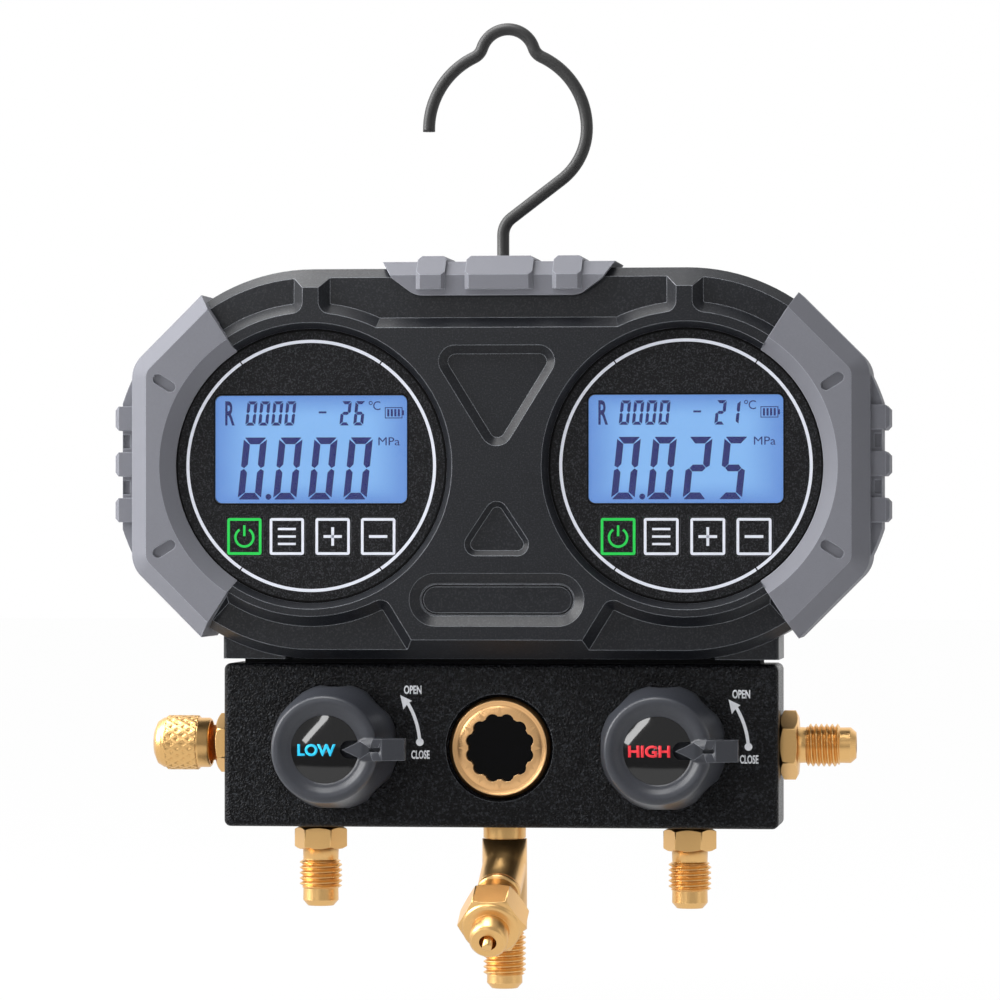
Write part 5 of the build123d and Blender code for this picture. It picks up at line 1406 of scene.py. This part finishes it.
    def print_key(self, name: str, strokes: List[PrintedStroke]) -> None:
        """Dresses one key and prints its frame and sign on it.

        Args:
            name: The key's name.
            strokes: The sign's strokes.
        """
        key = f"{self.side.head}_{name}_key"
        self.dress(Palette.film, key)
        ink = Palette.green_ink if name == "power" else Palette.white_ink
        frame = PrintedStroke(rounded_box(*self.key_frame, 0.25, 3), self.line, True)
        self.print_on(f"{key}_sign", [frame] + strokes, ink, front_of(key),
                      f"{self.side.head}_{name}_button", "key_film")


@dataclass
class ValveKnob(Assembly):
    """One hand knob with its glossy cap and its word."""

    side: Side = Side.LEFT
    word: str = "LOW"
    word_size: Point = (10.0, 3.1)
    word_place: Point = (-2.05, -0.15)
    cap_dome: float = 0.9
    cap_radius: float = 8.7

    def wrap_on_dome(self, mesh: bpy.types.Mesh) -> None:
        """Lays a flat word back onto the cap's domed front.

        Args:
            mesh: The word's mesh, in place, changed.
        """
        centre = middle_of(f"{self.side.valve}_valve_bonnet")
        for vertex in mesh.vertices:
            reach = math.hypot(vertex.co.x - centre.x, vertex.co.z - centre.z)
            vertex.co.y += self.cap_dome * MM * (reach / (self.cap_radius * MM)) ** 2

    def build(self) -> None:
        """Dresses the knob, and prints the word on its cap."""
        valve = self.side.valve
        ink = Palette.cyan_ink if self.side is Side.LEFT else Palette.red_ink
        self.smooth(Palette.knob, f"{valve}_knob", f"{valve}_valve", "knob_plastic", sharp=30.0)
        self.smooth(Palette.cap, f"{valve}_knob_cap", f"{valve}_valve", "cap_plastic", sharp=30.0)
        self.dress(Palette.steel, f"{valve}_knob_screw", f"{valve}_valve_spindle")
        self.dress(Palette.brass, f"{valve}_valve_bonnet")
        mesh = word_mesh(self.word, self.word_size[1], self.word_size[0], 0.035, at=self.word_place)
        centre = middle_of(f"{valve}_valve_bonnet")
        mesh.transform(facing_front(Vector((centre.x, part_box(f"{valve}_knob_cap")[0].y, centre.z))))
        self.wrap_on_dome(mesh)
        self.keep(f"{valve}_knob_word", mesh, ink, f"{valve}_valve", "knob_plastic")


@dataclass
class FlarePort(Assembly):
    """A hose port whose plain shank gets its real thread. Sizes in millimetres.

    The shank runs from the face it screws into, along one of the frame's directions.
    """

    node: str = "low_hose_port"
    face: Tuple[float, float, float] = (-48.5, 3.4, -206.2)
    direction: Tuple[float, float, float] = (0.0, 0.0, -1.0)
    thread_start: float = 9.2
    thread_length: float = 7.4
    core: float = 4.6

    def build(self) -> None:
        """Builds the threaded port, in place of the plain one."""
        self.smooth(Palette.brass, self.node, "gauge", "brass", sharp=20.0, reshape=self.add_thread)

    def placed(self) -> Matrix:
        """Returns the matrix from the port's own axis to the frame."""
        turn = Vector(self.direction).to_track_quat("Z", "Y").to_matrix().to_4x4()
        return Matrix.Translation(Vector(self.face) * MM) @ turn

    def slim(self, mesh: bpy.types.Mesh, start: float, end: float, limit: float) -> None:
        """Draws the points of a stretch in to a radius.

        Args:
            mesh: The mesh to change.
            start: Where the stretch starts, from the face.
            end: Where it ends.
            limit: The largest radius left.
        """
        place = self.placed()
        back = place.inverted()
        for vertex in mesh.vertices:
            local = back @ vertex.co
            reach = local.xy.length
            if start - 0.05 < local.z / MM < end + 0.05 and reach > limit * MM:
                local.x, local.y = local.x * limit * MM / reach, local.y * limit * MM / reach
                vertex.co = place @ local

    def join(self, mesh: bpy.types.Mesh, sleeve: bpy.types.Mesh, start: float) -> None:
        """Adds a sleeve to the port's mesh.

        Args:
            mesh: The port's mesh, changed in place.
            sleeve: The sleeve along local Z.
            start: Where it starts, from the face.
        """
        sleeve.transform(self.placed() @ Matrix.Translation((0, 0, start * MM)))
        with editing(mesh) as work:
            work.from_mesh(sleeve)

    def add_thread(self, mesh: bpy.types.Mesh) -> None:
        """Cuts the plain shank down and puts the thread on it.

        Args:
            mesh: The port's mesh, changed in place.
        """
        self.slim(mesh, self.thread_start, self.thread_start + self.thread_length, self.core)
        thread = ScrewThread(length=self.thread_length)
        self.join(mesh, thread.mesh("thread", Palette.brass.material()), self.thread_start)


@dataclass
class PortCap(FlarePort):
    """The knurled dust cap on the left port."""

    node: str = "port_cap"
    face: Tuple[float, float, float] = (-72.3, 3.4, -184.85)
    direction: Tuple[float, float, float] = (-1.0, 0.0, 0.0)
    knurl_start: float = 8.6
    knurl: CrossedKnurl = field(default_factory=CrossedKnurl)

    def build(self) -> None:
        """Builds the knurled cap, in place of the plain one."""
        self.smooth(Palette.brass, self.node, "side_port_cap", "brass", sharp=20.0,
                    reshape=self.add_knurl)

    def add_knurl(self, mesh: bpy.types.Mesh) -> None:
        """Cuts the barrel down and rolls the knurl round it.

        Args:
            mesh: The cap's mesh, changed in place.
        """
        root = self.knurl.radius - self.knurl.depth - 0.1
        self.slim(mesh, self.knurl_start, self.knurl_start + self.knurl.length, root)
        self.join(mesh, self.knurl.mesh("knurl", Palette.brass.material()), self.knurl_start)


@dataclass(frozen=True)
class TurnLabel:
    """The arrow and the two words by a valve. Places are X and Z in millimetres."""

    valve: str = "low"
    centre: Point = (-42.67, -185.25)
    radius: float = 21.9
    shaft: float = 0.85
    dot: Point = (-20.77, -184.05)
    dot_radius: float = 1.0
    head: Tuple[Point, ...] = ((-25.9, -171.86), (-25.06, -175.64), (-23.95, -174.06),
                               (-22.81, -173.34))
    open_word: Point = (-22.63, -170.48)
    open_width: float = 4.6
    close_word: Point = (-20.6, -187.28)
    close_width: float = 4.8
    letter_height: float = 2.25
    ink: float = 0.03

    def stroke(self) -> PrintedStroke:
        """Returns the arrow's curved shaft."""
        return PrintedStroke(arc(self.radius, 3.2, 31.5, 24, self.centre), self.shaft)

    def plates(self) -> List[List[Point]]:
        """Returns the flat outlines of the arrowhead and of the dot."""
        return [list(self.head), arc(self.dot_radius, 0, 360, 28, self.dot)[:-1]]

    def moved(self, valve: str, across: float, up: float) -> "TurnLabel":
        """Returns the same label for the other valve.

        Args:
            valve: That valve's name.
            across: How far right it moves.
            up: How far up it moves.

        Returns:
            The moved label.
        """
        shift = lambda point: (point[0] + across, point[1] + up)
        return replace(self, valve=valve, centre=shift(self.centre), dot=shift(self.dot),
                       head=tuple(shift(point) for point in self.head),
                       open_word=shift(self.open_word), close_word=shift(self.close_word))


@dataclass
class Manifold(Assembly):
    """The painted block with its brass fittings, seals and printed arrows."""

    labels: Tuple[TurnLabel, ...] = (TurnLabel(), TurnLabel().moved("high", 85.35, -0.85))

    def build(self) -> None:
        """Dresses the block and its fittings."""
        self.dress(Palette.paint, "manifold_block")
        self.dress(Palette.rubber, "spindle_seals", "sight_glass_seal", "port_cap_seal")
        self.dress(Palette.seat, "ball_seats")
        self.smooth(Palette.sight_brass, "sight_glass_ring", "gauge", "brass", sharp=20.0)
        self.dress(Palette.sight_dark, "sight_glass")
        self.smooth(Palette.brass, "bleed_valve_body", "gauge", "brass", sharp=20.0)
        self.smooth(Palette.brass, "bleed_pin", "push_pin", "brass")
        self.dress(Palette.spring, "bleed_spring")
        for label in self.labels:
            self.print_label(label)

    def print_label(self, label: "TurnLabel") -> None:
        """Prints one valve's arrow and words on the block's front.

        Args:
            label: The label's places.
        """
        height, ink = label.letter_height, label.ink
        parts = [
            label.stroke(),
            plate_mesh("head", label.plates(), ink),
            word_mesh("OPEN", height, label.open_width, 0.03, ink, label.open_word),
            word_mesh("CLOSE", height, label.close_width, 0.03, ink, label.close_word),
        ]
        self.print_on(f"{label.valve}_turn_label", parts, Palette.label_ink,
                      Vector((0.0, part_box("manifold_block")[0].y, 0.0)), "gauge", "block_paint")


# ---- Studio -------------------------------------------------------------------------


@dataclass
class Softbox:
    """A soft lamp that looks at a point. Sizes in metres, power in watts."""

    name: str
    place: Tuple[float, float, float]
    aim: Tuple[float, float, float]
    size: Tuple[float, float]
    power: float
    roll: float = 0.0

    def light(self) -> None:
        """Adds the lamp."""
        lamp = bpy.data.lights.new(self.name, "AREA")
        lamp.shape = "RECTANGLE"
        lamp.size, lamp.size_y = self.size
        lamp.energy = self.power
        holder = bpy.data.objects.new(self.name, lamp)
        holder.location = self.place
        aim = (Vector(self.aim) - Vector(self.place)).to_track_quat("-Z", "Y")
        holder.rotation_euler = (aim @ Quaternion((0, 0, 1), math.radians(self.roll))).to_euler()
        bpy.context.scene.collection.objects.link(holder)


@dataclass
class Studio:
    """A pale floor, a white room, soft lamps and the camera. Sizes in millimetres."""

    target: Tuple[float, float, float] = (0.637, -13.4, -121.27)
    distance: float = 1377.4
    azimuth: float = 6.371
    elevation: float = -0.323
    lens: float = 192.0
    floor_gap: float = 4.0
    floor_reach: float = 6000.0
    floor_tones: Tuple[float, float] = (0.8, 0.84)
    floor_edge: Tuple[float, float] = (-0.29, -0.25)
    floor_gloss: Tuple[float, float] = (0.22, 0.9)
    floor_white: float = 0.985
    room_lean: Tuple[float, float] = (-0.3, 0.5)
    room_gloss: Tuple[float, float] = (0.46, 1.2)
    room_fill: float = 0.2
    lamps: Tuple[Softbox, ...] = (
        Softbox("left_softbox", (-0.9, -0.24, 0.3), (0.0, 0.0, -0.12), (0.6, 0.9), 17.0),
        Softbox("top_softbox", (-0.25, -0.12, 0.75), (0.0, 0.0, -0.1), (0.9, 0.5), 11.0),
        Softbox("right_softbox", (0.95, -0.35, 0.05), (0.0, 0.0, -0.12), (0.25, 0.8), 0.7),
        Softbox("front_strip", (-0.35, -1.15, 0.06), (0.0, 0.0, -0.18), (0.5, 0.08), 1.1, 50.0),
    )

    def build(self) -> None:
        """Sets up the camera, the lamps, the world and the floor."""
        self.place_camera()
        for lamp in self.lamps:
            lamp.light()
        self.light_world()
        self.lay_floor()
        bpy.context.scene.view_settings.view_transform = "Standard"

    def place_camera(self) -> None:
        """Stands the camera where the gauge is seen almost straight on."""
        side, tilt = math.radians(self.azimuth), math.radians(self.elevation)
        flat = math.cos(tilt)
        back = Vector((math.sin(side) * flat, -math.cos(side) * flat, math.sin(tilt)))
        lens = bpy.data.cameras.new("camera")
        lens.lens = self.lens
        lens.sensor_width = 36.0
        lens.clip_start, lens.clip_end = 0.05, 20.0
        camera = bpy.data.objects.new("camera", lens)
        camera.location = (Vector(self.target) + back * self.distance) * MM
        camera.rotation_euler = (-back).to_track_quat("-Z", "Y").to_euler()
        bpy.context.scene.collection.objects.link(camera)
        bpy.context.scene.camera = camera

    def light_world(self) -> None:
        """Makes the room white where it is seen, and dimmer in front for gloss."""
        world = bpy.data.worlds.new("studio_room")
        bpy.context.scene.world = world
        world.use_nodes = True
        world.node_tree.nodes.clear()
        s = Sketch(world.node_tree)
        rays = s.add("ShaderNodeLightPath")
        seen = s.sum("MAXIMUM", rays.outputs["Is Camera Ray"], rays.outputs["Is Transmission Ray"])
        across, deep, _ = s.split(s.add("ShaderNodeTexCoord").outputs["Generated"])
        lean = s.sum("MULTIPLY_ADD", across, -0.5, deep)
        room = s.ramp(lean, self.room_lean, self.room_gloss, soft=True)
        gloss = s.sum("MULTIPLY", rays.outputs["Is Glossy Ray"], room)
        dull = s.sum("SUBTRACT", 1.0, rays.outputs["Is Glossy Ray"])
        plain = s.sum("MULTIPLY", dull, self.room_fill)
        unseen = s.sum("MULTIPLY", s.sum("SUBTRACT", 1.0, seen), s.sum("ADD", gloss, plain))
        back = s.feed(s.add("ShaderNodeBackground"), Strength=s.sum("ADD", seen, unseen),
                      Color=(1.0, 1.0, 1.0, 1.0))
        s.feed(s.add("ShaderNodeOutputWorld"), Surface=back.outputs[0])

    def lay_floor(self) -> None:
        """Lays the pale floor just under the gauge."""
        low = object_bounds()[0].z - self.floor_gap * MM
        mesh = bpy.data.meshes.new("floor")
        reach = self.floor_reach * MM
        corners = [(reach * x, reach * y, low) for x, y in ((-1, -1), (1, -1), (1, 1), (-1, 1))]
        mesh.from_pydata(corners, [], [(0, 1, 2, 3)])
        material = bpy.data.materials.new("pale_floor")
        material.use_nodes = True
        s = Sketch(material.node_tree)
        shader = material.node_tree.nodes["Principled BSDF"]
        place = s.object_place()
        dark, pale = ((tone, tone, tone, 1.0) for tone in self.floor_tones)
        tone = s.blend(s.noise(place, 40.0, 3.0), dark, pale)
        s.feed(shader, Base_Color=tone, Roughness=0.8)
        rays = s.add("ShaderNodeLightPath").outputs
        table = s.ramp(s.split(place)[1], self.floor_edge, self.floor_gloss, soft=True)
        seen = rays["Is Camera Ray"]
        share = s.sum("MAXIMUM", s.sum("MULTIPLY", seen, self.floor_white), rays["Is Glossy Ray"])
        strength = s.sum("MAXIMUM", seen, table)
        white = s.feed(s.add("ShaderNodeEmission"), Strength=strength)
        mixed = s.run("ShaderNodeMixShader", share, shader.outputs[0], white.outputs[0])
        s.feed(material.node_tree.nodes["Material Output"], Surface=mixed)
        object_from("floor", mesh, material)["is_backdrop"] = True


def main() -> None:
    """Builds every sub-assembly in order and reports its pieces."""
    logging.basicConfig(level=logging.INFO, format="%(message)s")
    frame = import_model()
    nodes = frame["nodes"]
    Studio().build()
    assemblies: List[Assembly] = [
        GaugeHead(nodes),
        DisplayFace(nodes, side=Side.LEFT, reading="0000", degrees="26"),
        DisplayFace(nodes, side=Side.RIGHT, reading="0025", degrees="21"),
        Manifold(nodes),
        FlarePort(nodes),
        FlarePort(nodes, node="high_hose_port", face=(48.5, 3.4, -206.2)),
        FlarePort(nodes, node="right_side_port", face=(72.3, 3.4, -184.85),
                  direction=(1.0, 0.0, 0.0), thread_start=6.6, thread_length=8.7),
        FlarePort(nodes, node="left_side_port", face=(-72.3, 3.4, -184.85),
                  direction=(-1.0, 0.0, 0.0), thread_start=6.3, thread_length=8.0),
        FlarePort(nodes, node="centre_port", face=(0.0, 3.4, -206.2), thread_start=27.8,
                  thread_length=11.2),
        PortCap(nodes),
        ValveKnob(nodes, side=Side.LEFT),
        ValveKnob(nodes, side=Side.RIGHT, word="HIGH", word_size=(10.8, 3.1)),
    ]
    for assembly in assemblies:
        assembly.build()
        names = ", ".join(piece.name for piece in assembly.pieces) or "packed nodes only"
        log.info("%s: %s", type(assembly).__name__, names)


if __name__ == "__main__":
    main()
